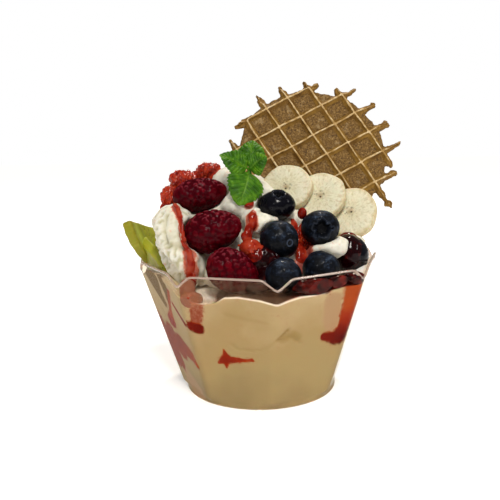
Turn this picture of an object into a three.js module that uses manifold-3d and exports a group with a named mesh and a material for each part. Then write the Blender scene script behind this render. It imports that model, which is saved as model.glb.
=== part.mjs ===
// Fruit sundae in a clear eight-sided cup: vanilla filling, whipped cream, fruit, mint and a waffle.
// Millimetres, +Z up. The origin is the middle of the cup's underside, +X to the right, +Y to the back.
import * as THREE from "three";
import { mergeVertices } from "three/addons/utils/BufferGeometryUtils.js";
import Module from "manifold-3d";

const wasm = await Module();
wasm.setup();

const gap = 0.3; // clearance between pieces that touch
const roundGap = 0.8; // clearance of the coarse hollows round berries, at their corners

const cup = {
  sides: 8,
  turn: THREE.MathUtils.degToRad(7.3), // the front corner stands a little to the right
  baseRadius: 34.8,
  rimRadius: 54,
  height: 59.2,
  footRadius: 33.6, // the eight sides run down into a round foot
  footEdge: 0.8, // rounding of its lower edge
  footHeight: 3.8,
  footSides: 24,
  wall: 0.8,
  floor: 1.2,
  notchWidth: 11,
  notchDepth: 4.2,
  notchShoulder: 1.2, // rounding where a notch meets the rim
};

const filling = {
  level: 49, // lowest, behind the front corner
  rise: 2.6,
  dipX: 6,
  dipWidth: 16,
  waves: { height: 0.5, length: 31 },
  steps: 11,
};

const cream = {
  foot: 44,
  shoulder: 56,
  top: 94,
  lean: [-6, 7], // how far the peak stands left of and behind the cup's axis
  reach: { mean: 40.75, right: 1, back: 7.5, sides: 2.25 },
  roundness: 0.6, // 1 is a cone, 0.5 is nearly a dome
  ruffle: { height: 0.9, length: 14 },
  dollops: [
    { at: [-31.8, -22.5, 68.5], size: [9.6, 10.5, 18.5], tilt: [-0.5, -0.24, 0] },
    { at: [-36, -5, 75], size: [8, 9, 8.5], tilt: [0, 0, 0] },
    { at: [-22, -5, 80], size: [13, 12, 9], tilt: [0, 0, 0] },
    { at: [-6, -12, 83], size: [11, 8, 6.5], tilt: [0.2, 0, 0.1] },
    { at: [1, -20, 75.5], size: [8, 6, 5.5], tilt: [0, 0.3, 0] },
    { at: [28, -21, 65.5], size: [9, 7, 4.5], tilt: [0, -0.2, 0] },
    { at: [-13, 1, 91], size: [8, 7, 6.5], tilt: [0, 0, 0] },
    { at: [40, -4, 64], size: [6, 8, 6], tilt: [0, 0, 0] },
    { at: [22, 33, 65], size: [15, 10, 8], tilt: [0.3, 0.2, 0] },
    { at: [-20, 30, 68], size: [13, 11, 10], tilt: [0.4, -0.3, 0] },
  ],
};

// Thick runs of strawberry sauce that lie on the cream.
const sauceRuns = [
  { thickness: 2.8, route: [[-33.4, -20, 84], [-30.8, -26.8, 79.4], [-29.3, -30.5, 74.7],
    [-28.1, -32.6, 70.6], [-25.6, -33.6, 64.3], [-25.4, -33.4, 58.7], [-26.8, -32.4, 54]] },
  { thickness: 3.4, route: [[-0.6, -21, 80.6], [-2.8, -23.4, 79], [-3.9, -25.4, 75.4], [-5, -28, 71.6]] },
  { thickness: 2.6, route: [[-3.4, -18.6, 86.5], [-3.7, -19.8, 83.4]] },
];

const drupelets = { count: 64, relief: 0.5 };
const raspberries = [
  { at: [-24.2, -13, 87.3], length: 23.5, width: 14.6, axis: [0.96, 0.1, 0.16] },
  { at: [-18.2, -26.5, 74.0], length: 24.4, width: 17.6, axis: [0.93, -0.1, 0.26] },
  { at: [-10.2, -36.8, 59.3], length: 22.5, width: 17.4, axis: [0.84, -0.12, -0.5] },
];

const calyx = { depth: 0.14, width: 0.3 }; // as shares of a berry's radius
// size is across, deep and high; crown is where the dent of the calyx faces
const blueberries = [
  { at: [7.9, -12.5, 82.2], size: [15.9, 14.5, 13], crown: [-0.33, -0.89, 0.31] },
  { at: [8.1, -27, 69.8], size: [16, 15.6, 16], crown: [0.3, 0.8, 0.5] },
  { at: [25.1, -20, 73.5], size: [16.2, 15, 15], crown: [0.05, -0.98, 0.05] },
  { at: [9.1, -38.6, 57.8], size: [14.6, 14, 13.6], crown: [0.2, 0.5, 0.8] },
  { at: [24.4, -31.6, 58.8], size: [15.2, 14.4, 14], crown: [-0.2, 0.6, 0.7] },
  { at: [38.9, -15.6, 61], size: [14, 15, 16.4], crown: [0.3, 0.7, 0.6] },
];

const banana = {
  thickness: 4.2,
  roundness: 0.7, // bevel of the peeled edge
  slices: [
    { at: [12.8, 3, 87.7], radius: 11.2, facing: [-0.25, -0.8, 0.545] },
    { at: [27.2, 2, 83.8], radius: 11.4, facing: [-0.25, -0.8, 0.545] },
    { at: [40.2, 0.5, 76.6], radius: 11.8, facing: [-0.25, -0.8, 0.545] },
  ],
};

const kiwi = {
  thickness: 4.4,
  slices: [
    { at: [-49.7, 10.4, 70.1], radius: 20, facing: [0.9, -0.24, 0.37], cutEdge: [0.314, 0.897, -0.314] },
    { at: [-42.2, -14.7, 61.7], radius: 16, facing: [0.831, 0.476, 0.287], cutEdge: [-0.549, 0.728, 0.41] },
  ],
};

const strawberries = [
  { at: [-38.8, -5.5, 84], size: [8, 8, 11.5], tilt: [0, 0.3, 0], crease: 0.16 },
  { at: [-33, 1, 91], size: [10.5, 9, 10], tilt: [0, 0, 0], crease: 0.1 },
  { at: [-21.6, 4, 94], size: [13, 9, 9.5], tilt: [0, 0.2, 0], crease: 0.12 },
  { at: [19, -17, 67], size: [9, 8, 20], tilt: [0.4, 0.15, 0], crease: 0.12 },
  { at: [-3.6, -30, 67.5], size: [8, 8, 6.5], tilt: [0, -0.3, 0], crease: 0.14 },
];

const mint = {
  joint: [-3.5, -13, 97],
  stemFoot: [-1.5, -6, 84],
  stemThickness: 1.7,
  leafThickness: 0.8,
  stalk: 0.1, // share of a leaf's length before its blade starts
  stalkWidth: 0.9,
  arch: 0.12, // how far a leaf bows, as a share of its length
  waver: 0.35,
  leaves: [
    { tip: [-7.9, -21, 83.3], width: 14.5, up: [0.1, -0.85, -0.2], cup: 0.16 },
    { tip: [-15.4, -15, 103.4], width: 11, up: [0.1, -0.8, 0.5], cup: 0.12 },
    { tip: [-1.6, -6, 109], width: 12.5, up: [0, -0.6, 0.75], cup: 0.12 },
    { tip: [3.4, -15.5, 102.8], width: 11, up: [-0.2, -0.85, 0.45], cup: 0.14 },
  ],
};

// The waffle leans back. Ribs cross at whole cells; a rib is given by where its two ends lie, in cells.
// Rows run from row 0, columns from column -1, and the waffle's own origin is where row 2 meets column 2.
const waffle = {
  crossing: [26.5, 29, 109.6],
  crossingCell: 2,
  firstColumn: -1,
  rowWay: [0.8733, 0.2342, 0.4271],
  columnWay: [0.4871, -0.4272, -0.7618],
  cell: 11.6,
  radius: 34.2,
  middle: [1.47, 2.68], // column and row
  plate: 1.5,
  ribHeight: 2.7, // of a rib's crest over the plate's middle
  ribFoot: 4.2,
  ribCrest: 1.1,
  ribEnd: { taper: 0.6, length: 2 },
  ragged: { height: 0.025, length: 17 },
  rowEnds: [[-0.55, 3.5], [-1.6, 4.7], [-1.85, 5], [-1.75, 5], [-1.2, 4.9], [-0.3, 4.05]],
  columnEnds: [[0.4, 4.2], [-0.1, 5.3], [-0.88, 5.75], [-0.75, 5.85], [-0.45, 6.2], [0.55, 4.75]],
};

const finishes = {
  clearPlastic: { color: "#e9e6df", roughness: 0.08, metalness: 0 },
  vanilla: { color: "#c4a877", roughness: 0.55, metalness: 0 },
  whipped: { color: "#f0ece2", roughness: 0.5, metalness: 0 },
  raspberry: { color: "#5a0414", roughness: 0.35, metalness: 0 },
  blueberry: { color: "#1d2436", roughness: 0.45, metalness: 0 },
  bananaFlesh: { color: "#e8dfbe", roughness: 0.5, metalness: 0 },
  strawberry: { color: "#a3261a", roughness: 0.2, metalness: 0 },
  kiwiFlesh: { color: "#a0a545", roughness: 0.35, metalness: 0 },
  mintLeaf: { color: "#3f7d20", roughness: 0.5, metalness: 0 },
  waffleCrust: { color: "#a5783a", roughness: 0.7, metalness: 0 },
};

// A closed geometry as a solid that can be joined and cut.
function solidOf(geometry) {
  const bare = geometry.clone();
  bare.deleteAttribute("normal");
  bare.deleteAttribute("uv");
  const merged = mergeVertices(bare, 1e-4);
  const corners = merged.index.array;
  const kept = [];
  for (let i = 0; i < corners.length; i += 3) {
    const [a, b, c] = corners.slice(i, i + 3);
    if (a !== b && b !== c && c !== a) kept.push(a, b, c);
  }
  const vertProperties = merged.attributes.position.array;
  const mesh = { numProp: 3, vertProperties, triVerts: new Uint32Array(kept) };
  const made = new wasm.Manifold(new wasm.Mesh(mesh));
  if (made.volume() > 0) return made;
  for (let i = 0; i < kept.length; i += 3) [kept[i + 1], kept[i + 2]] = [kept[i + 2], kept[i + 1]];
  return new wasm.Manifold(new wasm.Mesh({ ...mesh, triVerts: new Uint32Array(kept) }));
}

function geometryOf(solid) {
  const { vertProperties, triVerts } = solid.getMesh();
  const geometry = new THREE.BufferGeometry();
  geometry.setAttribute("position", new THREE.BufferAttribute(vertProperties, 3));
  geometry.setIndex(new THREE.BufferAttribute(triVerts, 1));
  geometry.computeVertexNormals();
  return geometry;
}

const joined = (solids) => solids.reduce((all, next) => all.add(next));
const without = (solid, cutters) => cutters.reduce((left, cutter) => left.subtract(cutter), solid);
const largest = (solid) => solid.decompose().reduce((a, b) => (a.volume() > b.volume() ? a : b));
const vector = (xyz) => new THREE.Vector3(...xyz);
const bump = (distance, width) => Math.exp(-((distance / width) ** 2));

// Moves every point of a geometry by a rule that sees only where the point lies.
function shaped(geometry, move) {
  const points = geometry.attributes.position;
  const point = new THREE.Vector3();
  for (let i = 0; i < points.count; i++) {
    move(point.fromBufferAttribute(points, i));
    points.setXYZ(i, point.x, point.y, point.z);
  }
  return geometry;
}

// A slow uneven wave through space, between about -1 and 1.
function unevenness(p, wavelength, seed) {
  const k = (2 * Math.PI) / wavelength;
  return (
    (Math.sin(k * p.x + seed + 1.3 * Math.sin(k * 0.6 * p.y + seed)) +
      Math.sin(k * 0.9 * p.y + 2.1 * seed + 1.1 * Math.sin(k * 0.7 * p.z)) +
      Math.sin(k * 1.1 * p.z + 0.7 * seed + 1.2 * Math.sin(k * 0.5 * p.x))) / 3
  );
}

// Turns local x, y and z to the given directions and moves the local origin to a place.
function setAt(geometry, at, xWay, yWay, zWay) {
  const matrix = new THREE.Matrix4().makeBasis(xWay, yWay, zWay).setPosition(vector(at));
  return geometry.applyMatrix4(matrix);
}

const cupRadius = (z) => cup.baseRadius + ((cup.rimRadius - cup.baseRadius) * z) / cup.height;
const wallAcross = cup.wall / Math.cos(Math.PI / cup.sides); // the wall's thickness measured at a corner

function eightSided(profile) {
  const points = profile.map(([radius, z]) => new THREE.Vector2(radius, z));
  return solidOf(new THREE.LatheGeometry(points, cup.sides, cup.turn).rotateX(Math.PI / 2));
}

// The room inside the cup, drawn in by a clearance, from a floor up to a height.
function cupInside(clearance, from, to) {
  const radius = (z) => cupRadius(z) - wallAcross - clearance;
  return eightSided([[0, from], [radius(from) - cup.wall, from], [radius(from + 2), from + 2],
    [radius(to), to], [0, to]]);
}

function rimNotch(corner) {
  const angle = cup.turn + (corner * 2 * Math.PI) / cup.sides;
  const radial = new THREE.Vector3(Math.sin(angle), -Math.cos(angle), 0);
  const along = new THREE.Vector3(Math.cos(angle), Math.sin(angle), 0);
  const half = cup.notchWidth / 2;
  const shoulder = cup.notchShoulder;
  const bottom = -cup.notchDepth;
  const overRim = 2;
  const outline = new THREE.Shape();
  outline.moveTo(-half - shoulder, overRim).lineTo(-half - shoulder, 0);
  outline.quadraticCurveTo(-half, 0, -half + shoulder, -shoulder);
  outline.lineTo(-shoulder, bottom + shoulder / 2);
  outline.quadraticCurveTo(0, bottom - shoulder / 2, shoulder, bottom + shoulder / 2);
  outline.lineTo(half - shoulder, -shoulder);
  outline.quadraticCurveTo(half, 0, half + shoulder, 0).lineTo(half + shoulder, overRim);
  const depth = 14;
  const blank = new THREE.ExtrudeGeometry(outline, { depth, bevelEnabled: false, curveSegments: 2 });
  const start = radial.clone().multiplyScalar(cup.rimRadius + 3 - depth).setZ(cup.height);
  return solidOf(setAt(blank, start.toArray(), along, new THREE.Vector3(0, 0, 1), radial));
}

function cupSolid() {
  const { footEdge, footHeight, footRadius, footSides, height } = cup;
  const outline = [[0, 0], [footRadius - footEdge, 0], [footRadius, footEdge],
    [footRadius - footEdge / 2, footHeight], [0, footHeight]];
  const foot = new THREE.LatheGeometry(outline.map(([x, y]) => new THREE.Vector2(x, y)), footSides);
  const sides = eightSided([[0, footEdge], [footRadius - footEdge, footEdge],
    [cupRadius(footHeight), footHeight], [cupRadius(height), height], [0, height]]);
  const outside = sides.add(solidOf(foot.rotateX(Math.PI / 2)));
  const notches = [...Array(cup.sides).keys()].map(rimNotch);
  return without(outside, [cupInside(0, cup.floor, height + 1), ...notches]);
}

// Everything under the filling's uneven level, raised by a clearance.
function underLevel(clearance) {
  const { level, rise, dipX, dipWidth, waves, steps } = filling;
  const width = 130;
  const under = -10;
  const slab = new THREE.BoxGeometry(width, width, 1, steps, steps, 1);
  return solidOf(shaped(slab, (p) => {
    const wave = waves.height * unevenness(p.clone().setZ(0), waves.length, 4);
    p.z = p.z > 0 ? level + rise * (1 - bump(p.x - dipX, dipWidth)) + wave + clearance : under;
  }));
}

// The heap is a round of cream whose foot follows the cup and whose peak leans back.
function heap() {
  const { mean, right, back, sides } = cream.reach;
  const ball = new THREE.SphereGeometry(1, 20, 11).rotateX(Math.PI / 2);
  return solidOf(shaped(ball, (p) => {
    const angle = Math.atan2(p.y, p.x);
    const z = cream.foot + ((cream.top - cream.foot) * (1 + p.z)) / 2;
    const up = Math.max(0, (z - cream.shoulder) / (cream.top - cream.shoulder));
    const reach = mean + right * Math.cos(angle) + back * Math.sin(angle) + sides * Math.cos(2 * angle);
    const radius = Math.hypot(p.x, p.y) < 1e-6 ? 0 : reach * (1 - up) ** cream.roundness;
    p.set(cream.lean[0] * up + radius * Math.cos(angle), cream.lean[1] * up + radius * Math.sin(angle), z);
    const swell = 1 + (cream.ruffle.height * unevenness(p, cream.ruffle.length, 2)) / Math.max(radius, 12);
    p.x *= swell;
    p.y *= swell;
  }));
}

// Tilts a geometry about its own middle and moves it to its place.
function tilted(geometry, tilt, at) {
  const turn = new THREE.Matrix4().makeRotationFromEuler(new THREE.Euler(...tilt));
  return geometry.applyMatrix4(turn.setPosition(vector(at)));
}

function dollop({ at, size, tilt }, index) {
  const ball = shaped(new THREE.SphereGeometry(1, 11, 7), (p) => {
    p.multiplyScalar(1 + 0.05 * unevenness(p, 1.4, index)).multiply(vector(size));
  });
  return solidOf(tilted(ball, tilt, at));
}

function sauceRun({ thickness, route }) {
  const path = new THREE.CatmullRomCurve3(route.map(vector));
  const round = new THREE.Shape().absarc(0, 0, thickness / 2, 0, 2 * Math.PI);
  const run = new THREE.ExtrudeGeometry(round, { steps: 7, extrudePath: path, curveSegments: 3 });
  const blob = thickness * 0.62;
  const ends = [route[0], route.at(-1)].map((at) => new THREE.IcosahedronGeometry(blob).translate(...at));
  return joined([run, ...ends].map(solidOf));
}

function turnedFrom(ownWay, way) {
  return new THREE.Quaternion().setFromUnitVectors(vector(ownWay), vector(way).normalize());
}

// Where the drupelets sit on a round of radius 1, spread evenly from pole to pole.
const drupeletSpots = [...Array(drupelets.count).keys()].map((i) => {
  const height = 1 - (2 * i + 1) / drupelets.count;
  const turn = i * Math.PI * (3 - Math.sqrt(5));
  const ring = Math.sqrt(1 - height * height);
  return new THREE.Vector3(height, ring * Math.cos(turn), ring * Math.sin(turn));
});

// A raspberry is blunt at its hollow end and narrower at its tip, and is covered in drupelets.
function raspberryGeometry({ at, length, width, axis }, grow = 0) {
  const turned = turnedFrom([1, 0, 0], axis);
  return shaped(new THREE.IcosahedronGeometry(1, grow ? 2 : 4), (p) => {
    const nearest = grow ? 0 : Math.min(...drupeletSpots.map((spot) => spot.distanceTo(p)));
    const taper = 1 - 0.13 * p.x;
    p.set((p.x * length) / 2, (p.y * width * taper) / 2, (p.z * width * taper) / 2);
    p.setLength(p.length() * (1 - drupelets.relief * nearest * nearest) + grow);
    p.applyQuaternion(turned).add(vector(at));
  });
}

function blueberryGeometry({ at, size, crown }, grow = 0) {
  const turned = turnedFrom([0, 1, 0], crown);
  return shaped(new THREE.SphereGeometry(1, grow ? 10 : 12, grow ? 7 : 8), (p) => {
    const dent = grow || p.y < 0 ? 0 : calyx.depth * bump(Math.hypot(p.x, p.z), calyx.width);
    p.multiplyScalar(1 - dent).applyQuaternion(turned);
    p.multiply(vector(size).multiplyScalar(0.5));
    p.setLength(p.length() + grow).add(vector(at));
  });
}

function bananaGeometry({ at, radius, facing }, grow = 0) {
  const { thickness, roundness } = banana;
  const deep = thickness + 2 * grow;
  const wide = radius + grow;
  const outline = [[0, -deep / 2], [wide - roundness, -deep / 2], [wide, -deep / 2 + roundness],
    [wide, deep / 2 - roundness], [wide - roundness, deep / 2], [0, deep / 2]];
  const slice = new THREE.LatheGeometry(outline.map(([x, y]) => new THREE.Vector2(x, y)), grow ? 14 : 20);
  shaped(slice, (p) => {
    const around = 1 + 0.02 * Math.cos(3 * Math.atan2(p.z, p.x) + at[0]);
    p.x *= around;
    p.z *= around;
  });
  const turned = turnedFrom([0, 1, 0], facing);
  return slice.applyQuaternion(turned).translate(...at);
}

// Half a disc, cut edge up, standing on its round edge.
function kiwiGeometry({ at, radius, facing, cutEdge }, grow = 0) {
  const outline = new THREE.Shape();
  const wide = radius + grow;
  outline.moveTo(-wide, grow).lineTo(wide, grow).absellipse(0, 0, wide, wide * 0.96, 0, -Math.PI, true);
  const depth = kiwi.thickness + 2 * grow;
  const curveSegments = grow ? 10 : 20;
  const half = new THREE.ExtrudeGeometry(outline, { depth, bevelEnabled: false, curveSegments });
  const inward = vector(facing).normalize();
  const along = vector(cutEdge).addScaledVector(inward, -vector(cutEdge).dot(inward)).normalize();
  const up = inward.clone().cross(along);
  const start = vector(at).addScaledVector(inward, -depth / 2);
  return setAt(half, start.toArray(), along, up, inward);
}

function strawberryGeometry({ at, size, tilt, crease }, grow = 0) {
  const lump = shaped(new THREE.IcosahedronGeometry(1, 2), (p) => {
    const folds = 1 + crease * (unevenness(p, 1.1, at[0]) + 0.5 * unevenness(p, 0.6, at[2]));
    p.multiplyScalar(folds).multiply(vector(size).multiplyScalar(0.5));
    p.setLength(p.length() + grow);
  });
  return tilted(lump, tilt, at);
}

// A leaf is a thin sheet from its stalk to its tip, folded along the midrib, with a wavy edge.
function leafSolid({ tip, width, up, cup: fold }, grow = 0) {
  const base = vector(mint.joint);
  const along = vector(tip).sub(base);
  const length = along.length();
  along.normalize();
  const across = along.clone().cross(vector(up)).normalize();
  const face = across.clone().cross(along);
  const sheet = shaped(new THREE.BoxGeometry(1, 1, 1, grow ? 4 : 6, grow ? 2 : 4, 1), (p) => {
    const t = p.x + 0.5;
    const blade = Math.max(0, t - mint.stalk) / (1 - mint.stalk);
    const half = Math.max(mint.stalkWidth / 2, (width / 2) * Math.sin(Math.PI * blade ** 0.85));
    const side = 2 * p.y;
    const bow = mint.arch * length * Math.sin(Math.PI * t) - fold * half * side * side;
    const wave = mint.waver * Math.sin(9 * t) * side;
    const thick = mint.leafThickness + 5 * grow;
    p.set(t * (length + grow), side * (half + grow), p.z * thick + bow - wave);
  });
  return solidOf(setAt(sheet, mint.joint, along, across, face));
}

function mintStem(thickness) {
  const foot = vector(mint.stemFoot);
  const head = vector(mint.joint);
  const bend = foot.clone().lerp(head, 0.6).add(vector([0, 1, 0]));
  const path = new THREE.CatmullRomCurve3([foot, bend, head]);
  const round = new THREE.Shape().absarc(0, 0, thickness / 2, 0, 2 * Math.PI);
  return solidOf(new THREE.ExtrudeGeometry(round, { steps: 4, extrudePath: path, curveSegments: 4 }));
}

function mintSolid() {
  const node = new THREE.IcosahedronGeometry(mint.stemThickness * 0.9, 0).translate(...mint.joint);
  return joined([mintStem(mint.stemThickness), solidOf(node), ...mint.leaves.map((leaf) => leafSolid(leaf))]);
}

// A rib is six-sided, widest in the plate and narrow at both crests, and rounds off at its ends.
function waffleRib(start, end) {
  const length = end - start;
  return shaped(new THREE.BoxGeometry(length, 1, 1, 3, 1, 2), (p) => {
    const atEnd = Math.abs(p.x) > length / 3;
    if (!atEnd) p.x = Math.sign(p.x) * (length / 2 - waffle.ribEnd.length);
    const slim = atEnd ? waffle.ribEnd.taper : 1;
    const crest = Math.abs(p.z) > 0.1;
    p.y *= slim * (crest ? waffle.ribCrest : waffle.ribFoot);
    p.z = crest ? Math.sign(p.z) * waffle.ribHeight * slim : 0;
    p.x += (start + end) / 2;
  });
}

function setOnLean(geometry) {
  const rowWay = vector(waffle.rowWay).normalize();
  const columnWay = vector(waffle.columnWay).normalize();
  return setAt(geometry, waffle.crossing, rowWay, columnWay, rowWay.clone().cross(columnWay));
}

function waffleSolid() {
  const { cell, middle, radius, ragged, crossingCell, firstColumn } = waffle;
  const fromCrossing = (cells) => (cells - crossingCell) * cell;
  const plate = new THREE.CylinderGeometry(radius, radius, waffle.plate, 32).rotateX(Math.PI / 2);
  shaped(plate, (p) => {
    const torn = 1 + ragged.height * unevenness(p.clone().setZ(0), ragged.length, 3);
    p.x = p.x * torn + fromCrossing(middle[0]);
    p.y = p.y * torn + fromCrossing(middle[1]);
  });
  const rows = waffle.rowEnds.map((ends, row) =>
    waffleRib(...ends.map(fromCrossing)).translate(0, fromCrossing(row), 0));
  const columns = waffle.columnEnds.map((ends, i) =>
    waffleRib(...ends.map(fromCrossing)).rotateZ(Math.PI / 2).translate(fromCrossing(firstColumn + i), 0, 0));
  const flat = joined([plate, ...rows, ...columns].map(solidOf));
  return solidOf(setOnLean(geometryOf(flat)));
}

// The slot that the waffle stands in.
function waffleRoom() {
  const { cell, middle, radius, ribHeight, crossingCell } = waffle;
  const reach = radius + 4; // past the rib ends that stand in the cream
  const [across, down] = middle.map((cells) => (cells - crossingCell) * cell);
  const disc = new THREE.CylinderGeometry(reach, reach, 2 * (ribHeight + gap), 32).rotateX(Math.PI / 2);
  return solidOf(setOnLean(disc.translate(across, down, 0)));
}

const sundae = new THREE.Group();

function add(name, geometry, finish) {
  const mesh = new THREE.Mesh(geometry, new THREE.MeshStandardMaterial(finish));
  mesh.name = name;
  sundae.add(mesh);
}

const rooms = [
  ...raspberries.map((berry) => raspberryGeometry(berry, roundGap)),
  ...blueberries.map((berry) => blueberryGeometry(berry, roundGap)),
  ...banana.slices.map((slice) => bananaGeometry(slice, 2 * gap)),
  ...kiwi.slices.map((slice) => kiwiGeometry(slice, gap)),
].map(solidOf);
const pieceRooms = [
  ...strawberries.map((piece) => solidOf(strawberryGeometry(piece, 2 * gap))),
  mintStem(mint.stemThickness + 2 * gap),
  ...mint.leaves.map((leaf) => leafSolid(leaf, gap)),
];
const inCup = cupInside(gap, cup.floor + gap, cup.height);
const overCup = new THREE.CylinderGeometry(60, 60, 60, 40).rotateX(Math.PI / 2);
const creamBounds = inCup.add(solidOf(overCup.translate(0, 0, cup.height + 29.9)));
const bed = joined([heap(), ...cream.dollops.map(dollop), ...sauceRuns.map(sauceRun)]).intersect(creamBounds);
const whippedCream = largest(without(bed, [underLevel(gap), waffleRoom(), ...rooms, ...pieceRooms]));

add("cup", geometryOf(cupSolid()), finishes.clearPlastic);
add("filling", geometryOf(without(inCup.intersect(underLevel(0)), rooms)), finishes.vanilla);
add("whipped_cream", geometryOf(whippedCream), finishes.whipped);
raspberries.forEach((berry, i) => add(`raspberry_${i + 1}`, raspberryGeometry(berry), finishes.raspberry));
blueberries.forEach((berry, i) => add(`blueberry_${i + 1}`, blueberryGeometry(berry), finishes.blueberry));
banana.slices.forEach((slice, i) => {
  add(`banana_slice_${i + 1}`, bananaGeometry(slice), finishes.bananaFlesh);
});
kiwi.slices.forEach((slice, i) => {
  const earlier = kiwi.slices.slice(0, i).map((other) => solidOf(kiwiGeometry(other, gap)));
  const cut = largest(without(solidOf(kiwiGeometry(slice)), earlier));
  add(`kiwi_slice_${i + 1}`, geometryOf(cut), finishes.kiwiFlesh);
});
strawberries.forEach((piece, i) => {
  const cut = without(solidOf(strawberryGeometry(piece)), rooms);
  add(`strawberry_${i + 1}`, geometryOf(cut), finishes.strawberry);
});
add("mint_sprig", geometryOf(mintSolid()), finishes.mintLeaf);
add("waffle", geometryOf(waffleSolid()), finishes.waffleCrust);

export default sundae;
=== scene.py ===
# Looks of a fruit sundae in a clear eight-sided cup
import math
import random
import bmesh
import bpy
import numpy as np
from mathutils import Matrix, Vector, noise
from mathutils.bvhtree import BVHTree


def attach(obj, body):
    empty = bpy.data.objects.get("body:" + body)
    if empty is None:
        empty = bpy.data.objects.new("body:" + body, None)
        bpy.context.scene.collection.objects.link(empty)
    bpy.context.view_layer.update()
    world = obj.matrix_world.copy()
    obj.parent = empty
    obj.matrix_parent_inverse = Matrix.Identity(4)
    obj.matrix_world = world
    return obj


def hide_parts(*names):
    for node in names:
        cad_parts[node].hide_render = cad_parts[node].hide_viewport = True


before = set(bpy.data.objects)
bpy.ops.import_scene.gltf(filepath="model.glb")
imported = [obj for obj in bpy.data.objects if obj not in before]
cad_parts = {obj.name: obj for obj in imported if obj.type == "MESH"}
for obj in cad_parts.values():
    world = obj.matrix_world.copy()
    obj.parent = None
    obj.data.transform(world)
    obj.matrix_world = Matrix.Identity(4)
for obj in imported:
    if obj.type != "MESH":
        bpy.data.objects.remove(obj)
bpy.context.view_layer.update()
mm = 0.001


# Small helpers

def linear(hexColour):
    levels = [int(hexColour[i:i + 2], 16) / 255 for i in (1, 3, 5)]
    return tuple(v / 12.92 if v <= 0.04045 else ((v + 0.055) / 1.055) ** 2.4 for v in levels) + (1.0,)


def easeBetween(low, high, value):
    share = np.clip((value - low) / (high - low), 0, 1)
    return share * share * (3 - 2 * share)


def bump(distance, width):
    return np.exp(-(distance / width) ** 2)


def lengthsOf(rows):
    return np.linalg.norm(rows, axis=1)


def flatLength(points):
    # how far each point lies from the z axis
    return np.hypot(points[:, 0], points[:, 1])


def places(bm, unit=mm):
    return np.array([v.co for v in bm.verts]) / unit


def moveTo(bm, points):
    for vert, point in zip(bm.verts, points):
        vert.co = Vector(point) * mm


def lumps(points, wavelength, seed):
    shift = Vector((seed * 7.3, seed * 3.1, seed * 5.7))
    return np.array([noise.noise(Vector(p) / wavelength + shift) for p in points])


def rise(points, look, seed):
    return look["height"] * lumps(points, look["size"], seed)


def swell(bm, heights):
    bm.normal_update()
    for vert, height in zip(bm.verts, heights):
        vert.co += vert.normal * (height * mm)


def pushedOut(points, move):
    length = lengthsOf(points)
    return points * ((length + move) / length)[:, None]


def placeAt(at):
    return Matrix.Translation(Vector(at) * mm)


def turnTo(start, end):
    return Vector(start).rotation_difference(Vector(end)).to_matrix().to_4x4()


def turnOf(*axes):
    return Matrix(axes).transposed().to_4x4()


def setDown(bm, at, turn):
    bmesh.ops.transform(bm, matrix=placeAt(at) @ turn, verts=bm.verts)


def distanceTo(surface, points):
    return np.array([surface.find_nearest(Vector(point) * mm)[3] for point in points]) / mm


def roundBody(size):
    # a fine ball and its points, stretched to a size in millimetres
    bm = bmesh.new()
    bmesh.ops.create_icosphere(bm, subdivisions=6, radius=mm)
    return bm, places(bm) * np.array(size) / 2


def disc(segments, radius, depth):
    bm = bmesh.new()
    bmesh.ops.create_cone(bm, cap_ends=True, segments=segments, radius1=radius, radius2=radius, depth=depth)
    return bm


def capsOf(bm):
    return [f for f in bm.faces if len(f.verts) > 8]


def roundEdges(bm, offset, segments):
    sharp = [e for e in bm.edges if e.calc_face_angle(0) > 1]
    bmesh.ops.bevel(bm, geom=sharp, offset=offset, offset_type="OFFSET", affect="EDGES", segments=segments,
                    profile=0.5, material=-1)


def thicken(sheet, thickness):
    bmesh.ops.recalc_face_normals(sheet, faces=sheet.faces)
    bmesh.ops.solidify(sheet, geom=sheet.faces[:], thickness=thickness * mm)


def addObject(name, data):
    added = bpy.data.objects.new(name, data)
    bpy.context.scene.collection.objects.link(added)
    return added


def addEach(pieces, addOne, material):
    for number, piece in enumerate(pieces, 1):
        addOne(number, piece, material)


def copyOfNode(node):
    bm = bmesh.new()
    bm.from_mesh(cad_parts[node].data)
    bmesh.ops.remove_doubles(bm, verts=bm.verts, dist=1e-6)
    return bm


def pour(bm, other):
    # adds one finished bmesh to another
    mesh = bpy.data.meshes.new("part")
    other.to_mesh(mesh)
    other.free()
    bm.from_mesh(mesh)
    bpy.data.meshes.remove(mesh)


def remeshed(bm, voxel, smoothing):
    mesh = bpy.data.meshes.new("rough")
    bm.to_mesh(mesh)
    bm.free()
    rough = addObject("rough", mesh)
    remesh = rough.modifiers.new("remesh", "REMESH")
    remesh.mode = "VOXEL"
    remesh.voxel_size = voxel * mm
    smooth = rough.modifiers.new("smooth", "SMOOTH")
    smooth.factor = 0.5
    smooth.iterations = smoothing
    made = bpy.data.meshes.new_from_object(rough.evaluated_get(bpy.context.evaluated_depsgraph_get()))
    fresh = bmesh.new()
    fresh.from_mesh(made)
    bpy.data.objects.remove(rough)
    bpy.data.meshes.remove(made)
    return fresh


def addPiece(bm, name, material, replaced=(), marks=None, own=None):
    mesh = bpy.data.meshes.new(name)
    bmesh.ops.recalc_face_normals(bm, faces=bm.faces)
    bm.to_mesh(mesh)
    bm.free()
    for markName, values in (marks or {}).items():
        mesh.attributes.new(markName, "FLOAT", "POINT").data.foreach_set("value", values.astype(np.float32))
    if own is not None:
        ownPlace = mesh.attributes.new("own", "FLOAT_VECTOR", "POINT")
        ownPlace.data.foreach_set("vector", own.astype(np.float32).ravel())
    mesh.shade_smooth()
    mesh.materials.append(material)
    piece = addObject(name, mesh)
    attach(piece, "root")
    if replaced:
        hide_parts(*replaced)
    print("made", name, len(mesh.polygons), "faces")
    return piece


def stroke(radius, *path, tone=(1, 1), strength=1):
    # a stroke along a path; its radius and its tone each run from a first to a last value
    return {"path": path, "radius": radius, "tone": tone, "strength": strength}


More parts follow.
